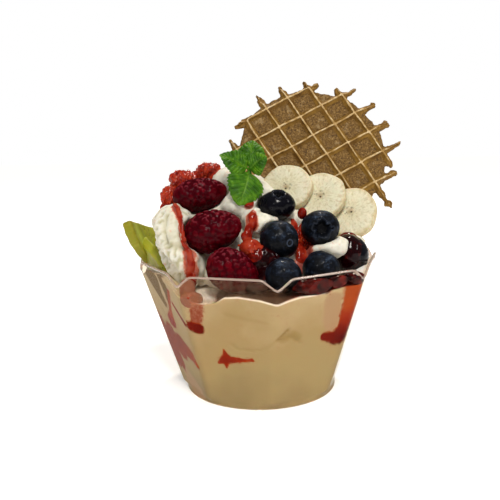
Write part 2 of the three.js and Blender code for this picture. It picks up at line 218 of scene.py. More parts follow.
def strokeMarks(points, strokes):
    # how strongly the strokes cover each point, and the tone of the strongest stroke there
    cover, tone = np.zeros(len(points)), np.zeros(len(points))
    for line in strokes:
        path = np.array(line["path"], float)
        steps = len(path) - 1
        wide, tones = line["radius"], line["tone"]
        for step in range(steps):
            along = path[step + 1] - path[step]
            share = np.clip(((points - path[step]) @ along) / (along @ along), 0, 1)
            away = lengthsOf(points - path[step] - share[:, None] * along)
            progress = (step + share) / steps
            radius = wide[0] + (wide[1] - wide[0]) * progress
            inStroke = line["strength"] * (1 - np.clip(away / radius, 0, 1) ** 2)
            stronger = inStroke > cover
            cover = np.where(stronger, inStroke, cover)
            tone = np.where(stronger, tones[0] + (tones[1] - tones[0]) * progress, tone)
    return cover, tone


def coverOf(points, strokes):
    return strokeMarks(points, strokes)[0]


# Material helpers

def startMaterial(name, **values):
    material = bpy.data.materials.new(name)
    material.use_nodes = True
    for socket, value in values.items():
        socketOf(material, socket).default_value = value
    return material, material.node_tree


def socketOf(material, name):
    return material.node_tree.nodes["Principled BSDF"].inputs[name.replace("_", " ")]


def finished(material, **outputs):
    for socket, output in outputs.items():
        material.node_tree.links.new(output, socketOf(material, socket))
    return material


def addNode(tree, kind, inputs=None, **settings):
    node = tree.nodes.new("ShaderNode" + kind)
    for name, value in settings.items():
        setattr(node, name, value)
    for name, value in (inputs or {}).items():
        if isinstance(value, bpy.types.NodeSocket):
            tree.links.new(value, node.inputs[name])
        else:
            node.inputs[name].default_value = value
    return node


def objectPlace(tree, axis=None):
    place = addNode(tree, "TexCoord").outputs["Object"]
    return addNode(tree, "SeparateXYZ", {"Vector": place}).outputs[axis] if axis else place


def markValue(tree, name, output="Fac"):
    return addNode(tree, "Attribute", attribute_name=name).outputs[output]


def noiseAt(tree, place, scale, detail=2.0, roughness=0.5):
    inputs = {"Vector": place, "Scale": scale, "Detail": detail, "Roughness": roughness}
    return addNode(tree, "TexNoise", inputs).outputs["Fac"]


def grain(tree, size, detail=2.0, roughness=0.5):
    return noiseAt(tree, objectPlace(tree), 1 / (size * mm), detail, roughness)


def sums(tree, operation, first, second, third=None):
    inputs = {0: first, 1: second} if third is None else {0: first, 1: second, 2: third}
    return addNode(tree, "Math", inputs, operation=operation).outputs[0]


def scaled(tree, value, factor, added=None):
    return sums(tree, "MULTIPLY" if added is None else "MULTIPLY_ADD", value, factor, added)


def ramp(tree, factor, stops):
    node = addNode(tree, "ValToRGB", {"Fac": factor})
    band = node.color_ramp
    while len(band.elements) < len(stops):
        band.elements.new(0.5)
    for element, (position, colour) in zip(band.elements, stops):
        element.position = position
        element.color = linear(colour) if isinstance(colour, str) else (colour, colour, colour, 1)
    return node.outputs["Color"]


def layered(tree, colour, *layers):
    # lays more colours over the first one, each as far as its factor says
    for factor, over in layers:
        under, over = (linear(c) if isinstance(c, str) else c for c in (colour, over))
        colour = addNode(tree, "Mix", {0: factor, 6: under, 7: over}, data_type="RGBA").outputs[2]
    return colour


def cellsAt(tree, place, scale):
    return addNode(tree, "TexVoronoi", {"Vector": place, "Scale": scale}).outputs["Distance"]


def relief(tree, height, strength, distance):
    inputs = {"Height": height, "Strength": strength, "Distance": distance * mm}
    return addNode(tree, "Bump", inputs).outputs["Normal"]


# Camera, floor and light

view = {
    "place": (0, -284.92, 111.87),
    "forward": (-0.01372, 0.98447, -0.17503),
    "roll": math.radians(-1.15),
    "lens": 47.1,
}


def addCamera():
    forward = Vector(view["forward"]).normalized()
    right = forward.cross(Vector((0, 0, 1))).normalized()
    up = right.cross(forward)
    roll = view["roll"]
    across = right * math.cos(roll) + up * math.sin(roll)
    upright = up * math.cos(roll) - right * math.sin(roll)
    camera = bpy.data.cameras.new("camera")
    camera.lens = view["lens"]
    camera.sensor_width = 36
    camera.clip_start = 0.01
    placed = addObject("camera", camera)
    placed.matrix_world = placeAt(view["place"]) @ turnOf(across, upright, -forward)
    bpy.context.scene.camera = placed


floorLook = {"colour": "#f8f8f8", "glow": 0.45, "half": 2.5}
overhead = {"name": "overhead", "place": (0.1, -0.75, 1.05), "power": 1.85, "colour": "#fffaf2",
            "spread": math.radians(12)}
lamps = [
    {"name": "front", "place": (-0.22, -0.6, 0.5), "size": 0.07, "power": 0.7, "colour": "#ffffff"},
    {"name": "high", "place": (0.12, -0.3, 0.75), "size": 0.09, "power": 0.6, "colour": "#ffffff"},
    {"name": "side", "place": (0.5, -0.2, 0.4), "size": 0.08, "power": 0.3, "colour": "#ffffff"},
    {"name": "back", "place": (0.08, 0.42, 0.72), "size": 0.1, "power": 2.6, "colour": "#fff4e6"},
]
aim = (0, 0, 0.07)  # the middle of the sundae
surround = {"colour": "#ffffff", "seen": 1.0, "light": 0.2}


def addLight(lamp, kind):
    light = bpy.data.lights.new(lamp["name"], kind)
    light.energy = lamp["power"]
    light.color = linear(lamp["colour"])[:3]
    placed = addObject(lamp["name"], light)
    placed.location = lamp["place"]
    toMiddle = Vector(aim) - placed.location
    placed.rotation_euler = toMiddle.to_track_quat("-Z", "Y").to_euler()
    return light


def addFloor():
    bm = bmesh.new()
    bmesh.ops.create_grid(bm, x_segments=1, y_segments=1, size=floorLook["half"])
    mesh = bpy.data.meshes.new("floor")
    bm.to_mesh(mesh)
    bm.free()
    colour = linear(floorLook["colour"])
    mesh.materials.append(startMaterial(
        "paleFloor", Roughness=0.9, Base_Color=colour, Specular_IOR_Level=0.1, Emission_Color=colour,
        Emission_Strength=floorLook["glow"])[0])
    floor = addObject("floor", mesh)


def addLights():
    addLight(overhead, "SUN").angle = overhead["spread"]
    for lamp in lamps:
        light = addLight(lamp, "AREA")
        light.shape = "DISK"
        light.size = lamp["size"]


def addSurround():
    world = bpy.data.worlds.new("surround")
    world.use_nodes = True
    tree = world.node_tree
    background = tree.nodes["Background"]
    background.inputs["Color"].default_value = linear(surround["colour"])
    path = addNode(tree, "LightPath")
    bounces = sums(tree, "ADD", path.outputs["Diffuse Depth"], path.outputs["Glossy Depth"])
    strength = addNode(tree, "MapRange", {
        "Value": bounces, "To Min": surround["seen"], "To Max": surround["light"]}).outputs[0]
    tree.links.new(strength, background.inputs["Strength"])
    bpy.context.scene.world = world
    bpy.context.scene.view_settings.view_transform = "Standard"


addCamera()
addFloor()
addLights()
addSurround()
print("camera and studio")


# Cup: clear plastic, eight-sided on a round foot, a notch in the rim over each corner

cup = {
    "sides": 8,
    "turn": math.radians(7.3),
    "baseRadius": 34.8,
    "rimRadius": 54.0,
    "height": 59.2,
    "foot": {"radius": 33.6, "height": 3.8, "edge": 0.8},
    "wall": 0.8,
    "floor": 1.2,
    "rounding": 6.0,  # of the corners between the sides
    "columns": 320,
    "rings": 42,
    "ringHeights": {"share": (0, 0.22, 0.6), "height": (0, 5, 50)},  # the rest stand close under the rim
    "lip": {"height": 0.8, "out": 0.3},
    "notch": {"from": (0, 1.2, 4.3, 5.5, 6.7), "drop": (4.2, 3.6, 1.2, 0.3, 0)},
}
halfSide = math.pi / cup["sides"]


def cornerRadius(z):
    foot = cup["foot"]
    straight = cup["baseRadius"] + (cup["rimRadius"] - cup["baseRadius"]) * z / cup["height"]
    return np.minimum(straight, foot["radius"] - foot["edge"] + (z - foot["edge"]) * 1.08)


def fromCorner(around):
    return np.mod(around - cup["turn"] + halfSide, 2 * halfSide) - halfSide


def sideReach(around, z, inset=0.0):
    # how far the wall stands from the cup's axis, with its corners rounded
    away = np.abs(fromCorner(around))
    flat = cornerRadius(z) * math.cos(halfSide) - inset
    rounding = cup["rounding"] - inset
    centre = (flat - rounding) / math.cos(halfSide)
    limit = np.arctan2(rounding * math.sin(halfSide), centre + rounding * math.cos(halfSide))
    inArc = np.maximum(rounding ** 2 - (centre * np.sin(away)) ** 2, 0)
    sides = np.where(away > limit, flat / np.cos(halfSide - away), centre * np.cos(away) + np.sqrt(inArc))
    foot = cup["foot"]
    low, top, wide = foot["edge"], foot["height"], foot["radius"]
    footReach = np.interp(z, [0, low, top, top + 1], [wide - low, wide, wide - low / 2, 20]) - inset
    return (sides + footReach + np.hypot(sides - footReach, 0.8)) / 2 - 0.12


def aroundOf(points):
    return np.arctan2(points[:, 0], -points[:, 1])


def wallDistance(points):
    # how far a point lies inside the cup's outer face
    return sideReach(aroundOf(points), points[:, 2]) - flatLength(points)


def keptInside(points, depth):
    # presses whatever would pass through the wall flat against it
    over = np.maximum(0, depth - wallDistance(points)) * (points[:, 2] < cup["height"] + 1)
    share = 1 - over / np.maximum(flatLength(points), 1)
    return points * np.stack([share, share, np.ones(len(points))], axis=1)


def setAround(around, reach, z):
    return np.stack([reach * np.sin(around), -reach * np.cos(around), z], axis=1)


def rimHeight(around):
    away = cup["rimRadius"] * np.sin(np.abs(fromCorner(around)))
    return cup["height"] - np.interp(away, cup["notch"]["from"], cup["notch"]["drop"])


def upright(segments, rows):
    # a plain tube of radius 1 and height 1 with a bottom and a top
    bm = disc(segments, 1, 1)
    rising = [e for e in bm.edges if abs(e.verts[0].co.z - e.verts[1].co.z) > 0.5]
    bmesh.ops.subdivide_edges(bm, edges=rising, cuts=rows, use_grid_fill=True)
    return bm


def cupPoints(plain, rings):
    # a tube of twice the rings: up outside the wall, over the rim and down inside it
    around = aroundOf(plain) + cup["turn"]
    slant = fromCorner(around) / halfSide
    around += halfSide * (np.sign(slant) * np.abs(slant) ** 1.5 - slant)  # closer columns at the notches
    ring = np.round((plain[:, 2] + 0.5) * (2 * rings - 1))
    within = ring >= rings
    share = np.where(within, 2 * rings - 1 - ring, ring) / (rings - 1)
    rim = rimHeight(around)
    shares, heights = cup["ringHeights"]["share"], cup["ringHeights"]["height"]
    toRim = np.clip((share - shares[-1]) / (1 - shares[-1]), 0, 1) ** 0.6
    z = np.interp(share, shares, heights) + toRim * (rim - heights[-1])
    z = np.where(within, cup["floor"] + z * (rim - cup["floor"]) / rim, z)
    below, lip = rim - z, cup["lip"]
    raised = lip["out"] * easeBetween(1.3, 0.5, below) - 0.3 * easeBetween(0.35, 0, below)
    reach = np.where(within, sideReach(around, z, cup["wall"]), sideReach(around, z) + raised)
    return setAround(around, reach * np.minimum(1, flatLength(plain)), z)


def clearPlastic():
    material, tree = startMaterial(
        "clearPlastic", Roughness=0.05, IOR=1.06, Transmission_Weight=1.0, Base_Color=linear("#f1e8dc"),
        Specular_IOR_Level=0.1)
    passShadows(material, "#efe8df")
    return finished(material, Normal=relief(tree, grain(tree, 14, detail=1), 0.12, 0.6))


# the rim is paler and less clear: painted highlight along the lit rim edge
def litRimPlastic():
    material = startMaterial(
        "litRimPlastic", Roughness=0.16, IOR=1.4, Transmission_Weight=0.55, Base_Color=linear("#c8b2a4"))[0]
    passShadows(material, "#e2d6cc")
    return material


def passShadows(material, colour):
    # light falls through the plastic onto what the cup holds
    tree = material.node_tree
    shadow = addNode(tree, "LightPath").outputs["Is Shadow Ray"]
    through = addNode(tree, "BsdfTransparent", {"Color": linear(colour)})
    shader = addNode(tree, "MixShader", {0: shadow})
    tree.links.new(tree.nodes["Principled BSDF"].outputs[0], shader.inputs[1])
    tree.links.new(through.outputs[0], shader.inputs[2])
    tree.links.new(shader.outputs[0], tree.nodes["Material Output"].inputs["Surface"])


def addCup():
    bm = upright(cup["columns"], 2 * cup["rings"] - 2)
    bmesh.ops.poke(bm, faces=capsOf(bm))
    moveTo(bm, cupPoints(places(bm, 1), cup["rings"]))
    piece = addPiece(bm, "clear_cup", clearPlastic(), ["cup"])
    piece.data.materials.append(litRimPlastic())
    middles = np.array([f.center for f in piece.data.polygons]) / mm
    nearRim = rimHeight(aroundOf(middles)) - middles[:, 2] < cup["lip"]["height"]
    piece.data.polygons.foreach_set("material_index", nearRim.astype(np.int32))
    piece.data.set_sharp_from_angle(angle=math.radians(50))


addCup()


# Vanilla filling: reaches just into the wall, with folds and sauce where it lies against it

filling = {
    "into": 0.35,  # how far it reaches into the wall
    "bottom": 0.6,
    "columns": 320,
    "rows": 64,
    "rings": 20,
    "atWall": 0.985,  # share of the way out from which a point lies on the wall
    "level": {  # along the wall, by the angle from the front in degrees
        "at": (-180, -115, -98, -90, -86, -79, -74, -56, -48, -42, -36, -28, -22, -17, -10, 0, 4, 7.5, 13,
               19, 25, 33, 42, 50, 57, 61, 75, 88, 93, 101, 112, 180),
        "height": (50.5, 51.5, 55, 54.6, 52.8, 52.8, 56, 56.4, 54.5, 51.5, 49, 47.3, 48.4, 51, 51.5, 50.5,
                   49.6, 48.8, 50, 50.8, 50.7, 50.9, 52.2, 52, 53, 57.4, 58, 57.6, 53.4, 52.8, 51.5, 50.5),
        "inside": 50.0,
    },
    # painted light: the free top of the filling and the lit edge of its level against the front wall
    "paintedTopLight": {"width": 0.75, "left": (-21, -17), "right": (36, 24), "topFrom": -26},
    "folds": [
        stroke((0.6, 0.6), (-11.6, -39.2, 30.9), (-9.3, -39.3, 28.9), (-5, -40.4, 28.6),
               (-0.3, -41.8, 28.9), (3.6, -43.5, 31.1), (6.3, -44.5, 33.6), (10.8, -43.3, 37.5),
               strength=0.45),
        stroke((0.5, 0.8), (5.4, -44.4, 32.8), (6.6, -44.5, 33.8), (10.8, -43.3, 37.5), strength=0.9),
        stroke((0.9, 0.6), (7.1, -44, 33.4), (11, -42.4, 34.2), (16.1, -37.8, 30.4), strength=0.5),
    ],
    # painted shade only: a shaded wedge below the folds and a faint band above them
    "shade": [
        stroke((2.4, 2.6), (8.5, -43, 34), (12.6, -41.4, 35), (14.5, -40, 33), strength=1.1),
        stroke((1.4, 1.2), (-13.4, -42.9, 44.1), (-5.8, -44.4, 42.3), (2.2, -46.2, 41.3), strength=0.35),
    ],
    "sauce": [
        stroke((0.9, 2.6), (-16.9, -35.1, 21.7), (-13.8, -36.6, 24.2), tone=(0.75, 0.8)),
        stroke((0.7, 2.2), (-14.6, -37.4, 27.6), (-13.6, -36.6, 24), tone=(0.7, 0.8)),
        stroke((2.2, 0.7), (-13.5, -36.6, 23.7), (-9, -37.7, 23.6), (-2.8, -39.4, 24.1), tone=(0.8, 0.6)),
        stroke((0.7, 2.0), (-13.8, -35.4, 19.9), (-13.6, -36.4, 23), tone=(0.7, 0.8)),
        stroke((7.5, 4.0), (-42, -4, 31), (-39.5, -8, 22), (-36.5, -9, 14), tone=(0.3, 0.36)),
        stroke((6.4, 4.6), (-38.6, -14, 28), (-34, -19.5, 20.5), tone=(0.36, 0.4)),
        stroke((6.2, 1.6), (-34, -21, 25), (-28.8, -27.3, 22.6), (-25.9, -29.6, 18.6), tone=(0.36, 0.5)),
        stroke((3.8, 1.2), (-36, -12, 16), (-33.4, -12.5, 10), tone=(0.36, 0.4)),
        stroke((5.6, 3.2), (-38, -11, 26), (-36, -11.4, 18), (-34, -12.4, 14), tone=(0.36, 0.4)),
        stroke((6.0, 5.4), (-32.5, -15, 7.5), (-27, -20, 3), tone=(-0.1, -0.1)),
        stroke((1.3, 1.4), (-36.6, -30.5, 50.5), (-36.9, -26.2, 44.5), (-36.8, -23.6, 40),
               tone=(0.5, 0.5)),
        stroke((1.8, 4.6), (-36.8, -23.6, 40), (-36.7, -20.9, 36), tone=(0.5, 0.74)),
        stroke((1.1, 1.3), (-35, -29.8, 45), (-32.4, -32.1, 41.4), (-29.9, -34.4, 37.9),
               tone=(0.75, 0.85)),
        stroke((2.9, 3.1), (-27.3, -37.1, 37.9), (-24.2, -37.6, 36.8), tone=(0.84, 0.9)),
        stroke((3.6, 3.1), (-24.6, -41.1, 48.2), (-24.8, -38.7, 41), tone=(0.18, 0.22)),
        stroke((6.0, 5.4), (37.8, -34.2, 56), (37.2, -32.4, 50), (36, -30, 43), tone=(0.46, 0.52)),
        stroke((5.4, 4.8), (36, -30, 43), (34.6, -29, 36), (32.6, -28.4, 30), tone=(0.55, 0.95)),
        stroke((2.2, 4.4), (25.4, -33, 31.4), (31, -29.6, 29.8), tone=(0.84, 0.92)),
        stroke((5.0, 4.6), (28.5, -36, 46.5), (28.3, -34.2, 41), (29, -33, 36), tone=(-0.12, -0.02)),
        # a dark stroke along the front under the fruit: sauce with painted shade
        stroke((1.6, 2.0), (16, -45.6, 51.6), (26.5, -39.6, 51.8)),
    ],
    "olive": [
        stroke((4.4, 2.6), (-43, -20, 53), (-41.4, -19.5, 46)),
        stroke((2.4, 1.8), (-38.4, -28.5, 52), (-37.8, -26, 46)),
        stroke((6.0, 2.6), (-47, -14.5, 57), (-43.4, -18.5, 49.1), (-40.2, -21.3, 43)),
        stroke((3.2, 2.0), (-41.6, -27, 57), (-38.6, -26.5, 50)),
    ],
    # the top under the fruit: dark sauce with painted shade, greyer towards the left
    "pool": {"left": -17, "right": 40, "back": -24, "poolShadeFade": (16, 8)},
}


def fillingMaterial():
    material, tree = startMaterial(
        "vanillaFilling", Roughness=0.7, Subsurface_Weight=0.12, Subsurface_Scale=0.003,
        Specular_IOR_Level=0.03)
    # painted shade: the warm vanilla body darkens towards the bottom, where the filling lies in shadow
    level = scaled(tree, grain(tree, 20, detail=3), 0.05, objectPlace(tree, "Z"))
    body = ramp(tree, scaled(tree, level, 12.0), [
        (0.1, "#887858"), (0.35, "#9a8963"), (0.55, "#a8976d"), (0.7, "#a9956b"), (0.95, "#bcaa86")])
    fuzz = grain(tree, 1.5, detail=5, roughness=0.7)
    ragged = sums(tree, "ADD", markValue(tree, "sauce"), scaled(tree, fuzz, 1.3, -0.65))
    tone = scaled(tree, fuzz, 0.5, sums(tree, "SUBTRACT", markValue(tree, "tone"), 0.25))
    pool = ramp(tree, tone, [(0.0, "#ae9272"), (0.2, "#985844"), (0.36, "#7c2606"), (0.5, "#a84c22"),
                             (0.66, "#962e16"), (0.84, "#761a0e"), (1.0, "#460907")])
    colour = layered(
        # the fold mark is painted shade along the folds and in the shaded wedge
        tree, body, (markValue(tree, "fold"), "#86733e"),
        (ramp(tree, markValue(tree, "olive"), [(0.05, 0.0), (0.5, 0.92)]), "#644800"),
        (ramp(tree, ragged, [(0.05, 0.0), (0.5, 1.0)]), pool),
        (markValue(tree, "poolShade"), "#574434"), (markValue(tree, "paintedTopLight"), "#f3efe6"))
    return finished(material, Base_Color=colour)


def fillingLevel(around, share):
    level = filling["level"]
    atWall = np.interp(np.degrees(around), level["at"], level["height"])
    return level["inside"] + (atWall - level["inside"]) * easeBetween(0.7, 0.97, share)


def fillingMarks(points, around, share):
    onTop = points[:, 2] > fillingLevel(around, share) - 0.3
    sauce, tone = strokeMarks(points, filling["sauce"])
    # the top under the fruit is coloured as dark sauce, partly sauce and partly painted shade of the fruit
    pool, across, free = filling["pool"], points[:, 0], share < filling["atWall"]
    inShadedPool = onTop * (across > pool["left"]) * (across < pool["right"]) * free
    inShadedPool = inShadedPool * (points[:, 1] < pool["back"])
    sauce, tone = np.maximum(sauce, inShadedPool), np.where(inShadedPool, 1, tone)
    below = fillingLevel(around, share) - points[:, 2]
    degrees = np.degrees(around)
    # painted light: a band along the level at the front wall, and the free top, whiter where light falls
    # from above
    line = filling["paintedTopLight"]
    front = easeBetween(*line["left"], degrees) * easeBetween(*line["right"], degrees)
    paintedTopLight = easeBetween(line["width"], line["width"] * 0.5, below) * front * (share > filling["atWall"])
    paintedTopLight = np.maximum(paintedTopLight, onTop * (1 - inShadedPool) * free * (across > line["topFrom"]))
    # painted shade along the folds and under the shade strokes
    fold = np.maximum(coverOf(points, filling["folds"]), coverOf(points, filling["shade"]) * 0.85)
    olive = coverOf(points, filling["olive"])
    # painted shade of the fruit over the left of the pool
    poolShade = inShadedPool * easeBetween(*pool["poolShadeFade"], across)
    return {"sauce": sauce, "tone": tone, "paintedTopLight": paintedTopLight, "fold": fold * 0.6, "olive": olive, "poolShade": poolShade}


def addFilling():
    bm = upright(filling["columns"], filling["rows"])
    caps = capsOf(bm)
    top = [f for f in caps if f.calc_center_median().z > 0]
    for _ in range(filling["rings"]):
        bmesh.ops.inset_region(bm, faces=top, thickness=0.9 / filling["rings"], use_even_offset=True)
    bmesh.ops.poke(bm, faces=caps)
    plain = places(bm, 1)
    around = aroundOf(plain)
    share = np.minimum(1, flatLength(plain))
    bottom = filling["bottom"]
    z = bottom + (plain[:, 2] + 0.5) * (fillingLevel(around, share) - bottom)
    inset = cup["wall"] - filling["into"]
    points = setAround(around, share * sideReach(around, z, inset), z)
    marks = fillingMarks(points, around, share)
    dent = 0.9 * coverOf(points, filling["folds"]) * (share > filling["atWall"])
    points[:, :2] *= (1 - dent / np.maximum(flatLength(points), 5))[:, None]
    points[:, 2] += 0.5 * lumps(points * (1, 1, 0), 7, 3) * (share < 0.95) * (plain[:, 2] > 0.49)
    moveTo(bm, points)
    addPiece(bm, "vanilla_filling", fillingMaterial(), ["filling"], marks)


addFilling()


# Veil on the inside of the front wall, above the filling: a brownish sheet of painted reflection and haze
# on the plastic

film = {
    "from": math.radians(-31),
    "to": math.radians(13),
    "fade": math.radians(5),
    "depth": 0.62,  # from the cup's outer face
    "thickness": 0.08,
    "belowRim": 0.9,
    "intoFilling": 1.0,
    "columns": 120,
    "rows": 24,
}


def filmMaterial():
    material, tree = startMaterial("hazeAndReflectionVeil", Roughness=0.6, Specular_IOR_Level=0.1)
    paler = scaled(tree, grain(tree, 5, detail=4), 0.8, scaled(tree, objectPlace(tree, "X"), -16.0))
    colour = ramp(tree, paler, [(0.2, "#8c6048"), (0.8, "#a8927e")])
    crackled = ramp(tree, grain(tree, 1.4, detail=4), [(0.36, 0.035), (0.64, 0.15)])
    return finished(material, Base_Color=colour, Alpha=scaled(tree, markValue(tree, "cover"), crackled))


def addFilm():
    sheet = bmesh.new()
    bmesh.ops.create_grid(sheet, x_segments=film["columns"], y_segments=film["rows"], size=0.5)
    flat = places(sheet, 1)
    around = film["from"] + (flat[:, 0] + 0.5) * (film["to"] - film["from"])
    bottom = fillingLevel(around, 1.0) - film["intoFilling"]
    z = bottom + (flat[:, 1] + 0.5) * (rimHeight(around) - film["belowRim"] - bottom)
    moveTo(sheet, setAround(around, sideReach(around, z) - film["depth"], z))
    thicken(sheet, film["thickness"])
    around = aroundOf(places(sheet))
    cover = easeBetween(film["from"], film["from"] + film["fade"], around)
    cover *= easeBetween(film["to"], film["to"] - film["fade"], around)
    addPiece(sheet, "haze_and_reflection_veil", filmMaterial(), marks={"cover": cover})


addFilm()


# Whipped cream: soft billows and folds, pitted on the left, stained where the sauce runs

cream = {
    "voxel": 0.8,
    "smoothing": 7,
    "swell": (0.1, 0.75),  # beside the fruit, and away from it
    "fromWall": 0.45,  # kept free behind the cup's outer face
    "calm": 4.5,  # the billows fade within this distance of the fruit
    "billows": {"size": 10, "height": 2.4},
    "folds": {"size": 4.4, "height": 0.9},
    "pits": {"size": 1.4, "height": 1.8, "from": 0.04},
    "pitted": {"leftwards": (-22, -30), "downwards": (90, 78), "backwards": (-10, 2)},
    "crease": [
        stroke((1.2, 1.7), (-36.4, -26, 80), (-36.9, -28.8, 75.4), (-37, -30.3, 71.7),
               (-34.8, -32.5, 69.1), (-29.7, -33.6, 68.4), strength=1.7),
    ],
    "lobe": [
        stroke((3.4, 5.0), (-34.5, -22.5, 83.5), (-32.8, -28, 77.5), (-31.6, -31.4, 72.4)),
    ],
    "sunk": [
        stroke((2.4, 3.0), (-34.6, -20.4, 84.8), (-30.7, -27.3, 80.3), (-28, -33.3, 71.5),
               (-27.3, -34.4, 67), (-26.7, -34.2, 61.3), (-26.5, -34.2, 54), strength=1.2),
        stroke((2.8, 3), (-2.3, -24.9, 79.4), (-2.6, -26.4, 75), (-4.2, -28.4, 71)),
        stroke((2.4, 2.4), (-3.4, -18.6, 86.5), (-3.7, -19.8, 83.4)),
        stroke((3.4, 3.4), (-30, -28.5, 79), (-28.6, -32, 74), (-27.6, -34, 69), strength=2.6),
        stroke((2.8, 2.8), (1.5, -15, 84.5), (0.5, -18, 82), (2.5, -20, 78), strength=2.2),
        stroke((2.8, 2.8), (0.5, -23.8, 79.5), (5, -21.5, 79.4), strength=1.2),
        stroke((5.0, 4.2), (-41, -27, 64.5), (-36.8, -31.4, 61), (-33.5, -32.5, 56), strength=3.6),
    ],
    "stain": [
        stroke((1.6, 2.4), (-34.6, -20.4, 84.8), (-29.3, -30.5, 76.7), (-28, -33.3, 71.5)),
        stroke((2.6, 3.6), (-28, -33.3, 71.5), (-26.7, -34.2, 61.3), (-26, -34, 50)),
        stroke((2.6, 3.8), (-2.4, -24.6, 80), (-2.6, -26.4, 75), (-5, -28.6, 70)),
        stroke((1.2, 2.4), (-3.2, -17, 90), (-3.7, -19.8, 83.4)),
        stroke((6, 6), (1, -28, 66), (2, -34, 61), (5, -36, 57)),
        stroke((2.2, 2.6), (-8, 0, 97), (-4, -3, 95.5), strength=0.45),
        stroke((3.4, 5.0), (14, -14, 78), (19, -20, 71), (18, -27, 60)),
        stroke((4.6, 4.6), (22, -30, 57), (30, -28, 55)),
        stroke((2.4, 3.6), (33, -9, 70), (38, -8, 66)),
        stroke((1.8, 2.4), (-40, -10, 66), (-38, -14, 60), (-36, -20, 52), strength=0.8),
        stroke((3.6, 4.2), (-36, -8, 80), (-30, -2, 88), (-22, 0, 92), strength=0.8),
    ],
}


def creamMaterial():
    material, tree = startMaterial(
        "whippedCream", Subsurface_Weight=0.25, Subsurface_Scale=0.002,
        Subsurface_Radius=(1.0, 0.8, 0.55), Specular_IOR_Level=0.3)
    body = ramp(tree, grain(tree, 7, detail=3), [(0.3, "#dcd8c6"), (0.7, "#eae7da")])
    fuzz = grain(tree, 2.0, detail=3, roughness=0.6)
    ragged = sums(tree, "ADD", markValue(tree, "stain"), scaled(tree, fuzz, 1.0, -0.5))
    run = ramp(tree, ragged, [(0.1, "#e0a588"), (0.35, "#c9633f"), (0.65, "#a93820"), (0.95, "#8a1c10")])
    cover = ramp(tree, ragged, [(0.08, 0.0), (0.4, 0.92)])
    # painted shade: pits, creases and the lobe are darkened to greenish grey
    colour = layered(tree, body, (markValue(tree, "shadedHollow"), "#bdb794"), (cover, run))
    rough = ramp(tree, cover, [(0.0, 0.6), (1.0, 0.22)])
    pitted = scaled(tree, grain(tree, 0.8), sums(tree, "SUBTRACT", 1.0, cover))
    return finished(material, Base_Color=colour, Roughness=rough, Normal=relief(tree, pitted, 0.3, 0.25))


def awayFromFruit(points):
    fruit = bmesh.new()
    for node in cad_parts:
        if node.startswith(("raspberry", "blueberry", "banana", "kiwi", "strawberry")):
            pour(fruit, copyOfNode(node))
    surface = BVHTree.FromBMesh(fruit)
    fruit.free()
    return distanceTo(surface, points)


def creamRelief(points):
    # how far the cream swells, how deep its pits and creases are, and where shade is painted into them
    billows, folds, pits = cream["billows"], cream["folds"], cream["pits"]
    calm = easeBetween(0.4, cream["calm"], awayFromFruit(points))
    beside, away = cream["swell"]
    soft = (np.abs(lumps(points, billows["size"], 1)) - 0.22) * billows["height"]
    soft += (np.abs(lumps(points, folds["size"], 4)) - 0.2) * folds["height"]
    lobe = np.clip(2 * coverOf(points, cream["lobe"]), 0, 1)
    area = cream["pitted"]
    fluffy = easeBetween(*area["leftwards"], points[:, 0]) * easeBetween(*area["downwards"], points[:, 2])
    fluffy *= 1 - 0.8 * lobe
    fluffy *= 1 - 0.8 * easeBetween(*area["backwards"], points[:, 1])
    pitted = pits["height"] * np.maximum(0, lumps(points, pits["size"], 2) - pits["from"])
    pitted *= 0.2 + 0.8 * fluffy
    crease = coverOf(points, cream["crease"])
    # painted shade in the pits, the crease and over the lobe
    shadedHollow = np.clip(1.5 * pitted + 0.35 * crease + 0.3 * lobe, 0, 1)
    return beside + (away - beside + soft - pitted + 0.8 * lobe) * calm - crease, shadedHollow


def addCream():
    bm = remeshed(copyOfNode("whipped_cream"), cream["voxel"], cream["smoothing"])
    points = places(bm)
    stain = coverOf(points, cream["stain"])
    height, shadedHollow = creamRelief(points)
    swell(bm, height - coverOf(points, cream["sunk"]))
    moveTo(bm, keptInside(places(bm), cream["fromWall"]))
    surface = BVHTree.FromBMesh(bm)
    marks = {"stain": stain, "shadedHollow": shadedHollow}
    addPiece(bm, "cream_heap", creamMaterial(), ["whipped_cream"], marks)
    return surface


creamSurface = addCream()


# Raspberries: uneven drupelets crowded round a tapered body

raspberry = {
    "count": 160,
    "ball": 2.6,  # the drupelets are shallow caps of balls this big
    "jitter": 0.075,
    "core": 1.6,  # how deep the smooth body lies under the drupelets
    "taper": 0.13,
    "crest": (0.94, 0.985),  # where the gaps end and the crests begin, as a share of the way out
    "voxel": 0.3,
    "berries": [
        {"at": (-24.2, -13, 87.3), "length": 23.5, "width": 14.6, "axis": (0.96, 0.1, 0.16)},
        {"at": (-18.2, -26.5, 74.0), "length": 24.4, "width": 17.6, "axis": (0.93, -0.1, 0.26)},
        {"at": (-10.2, -36.8, 59.3), "length": 22.5, "width": 17.4, "axis": (0.84, -0.12, -0.5)},
    ],
}


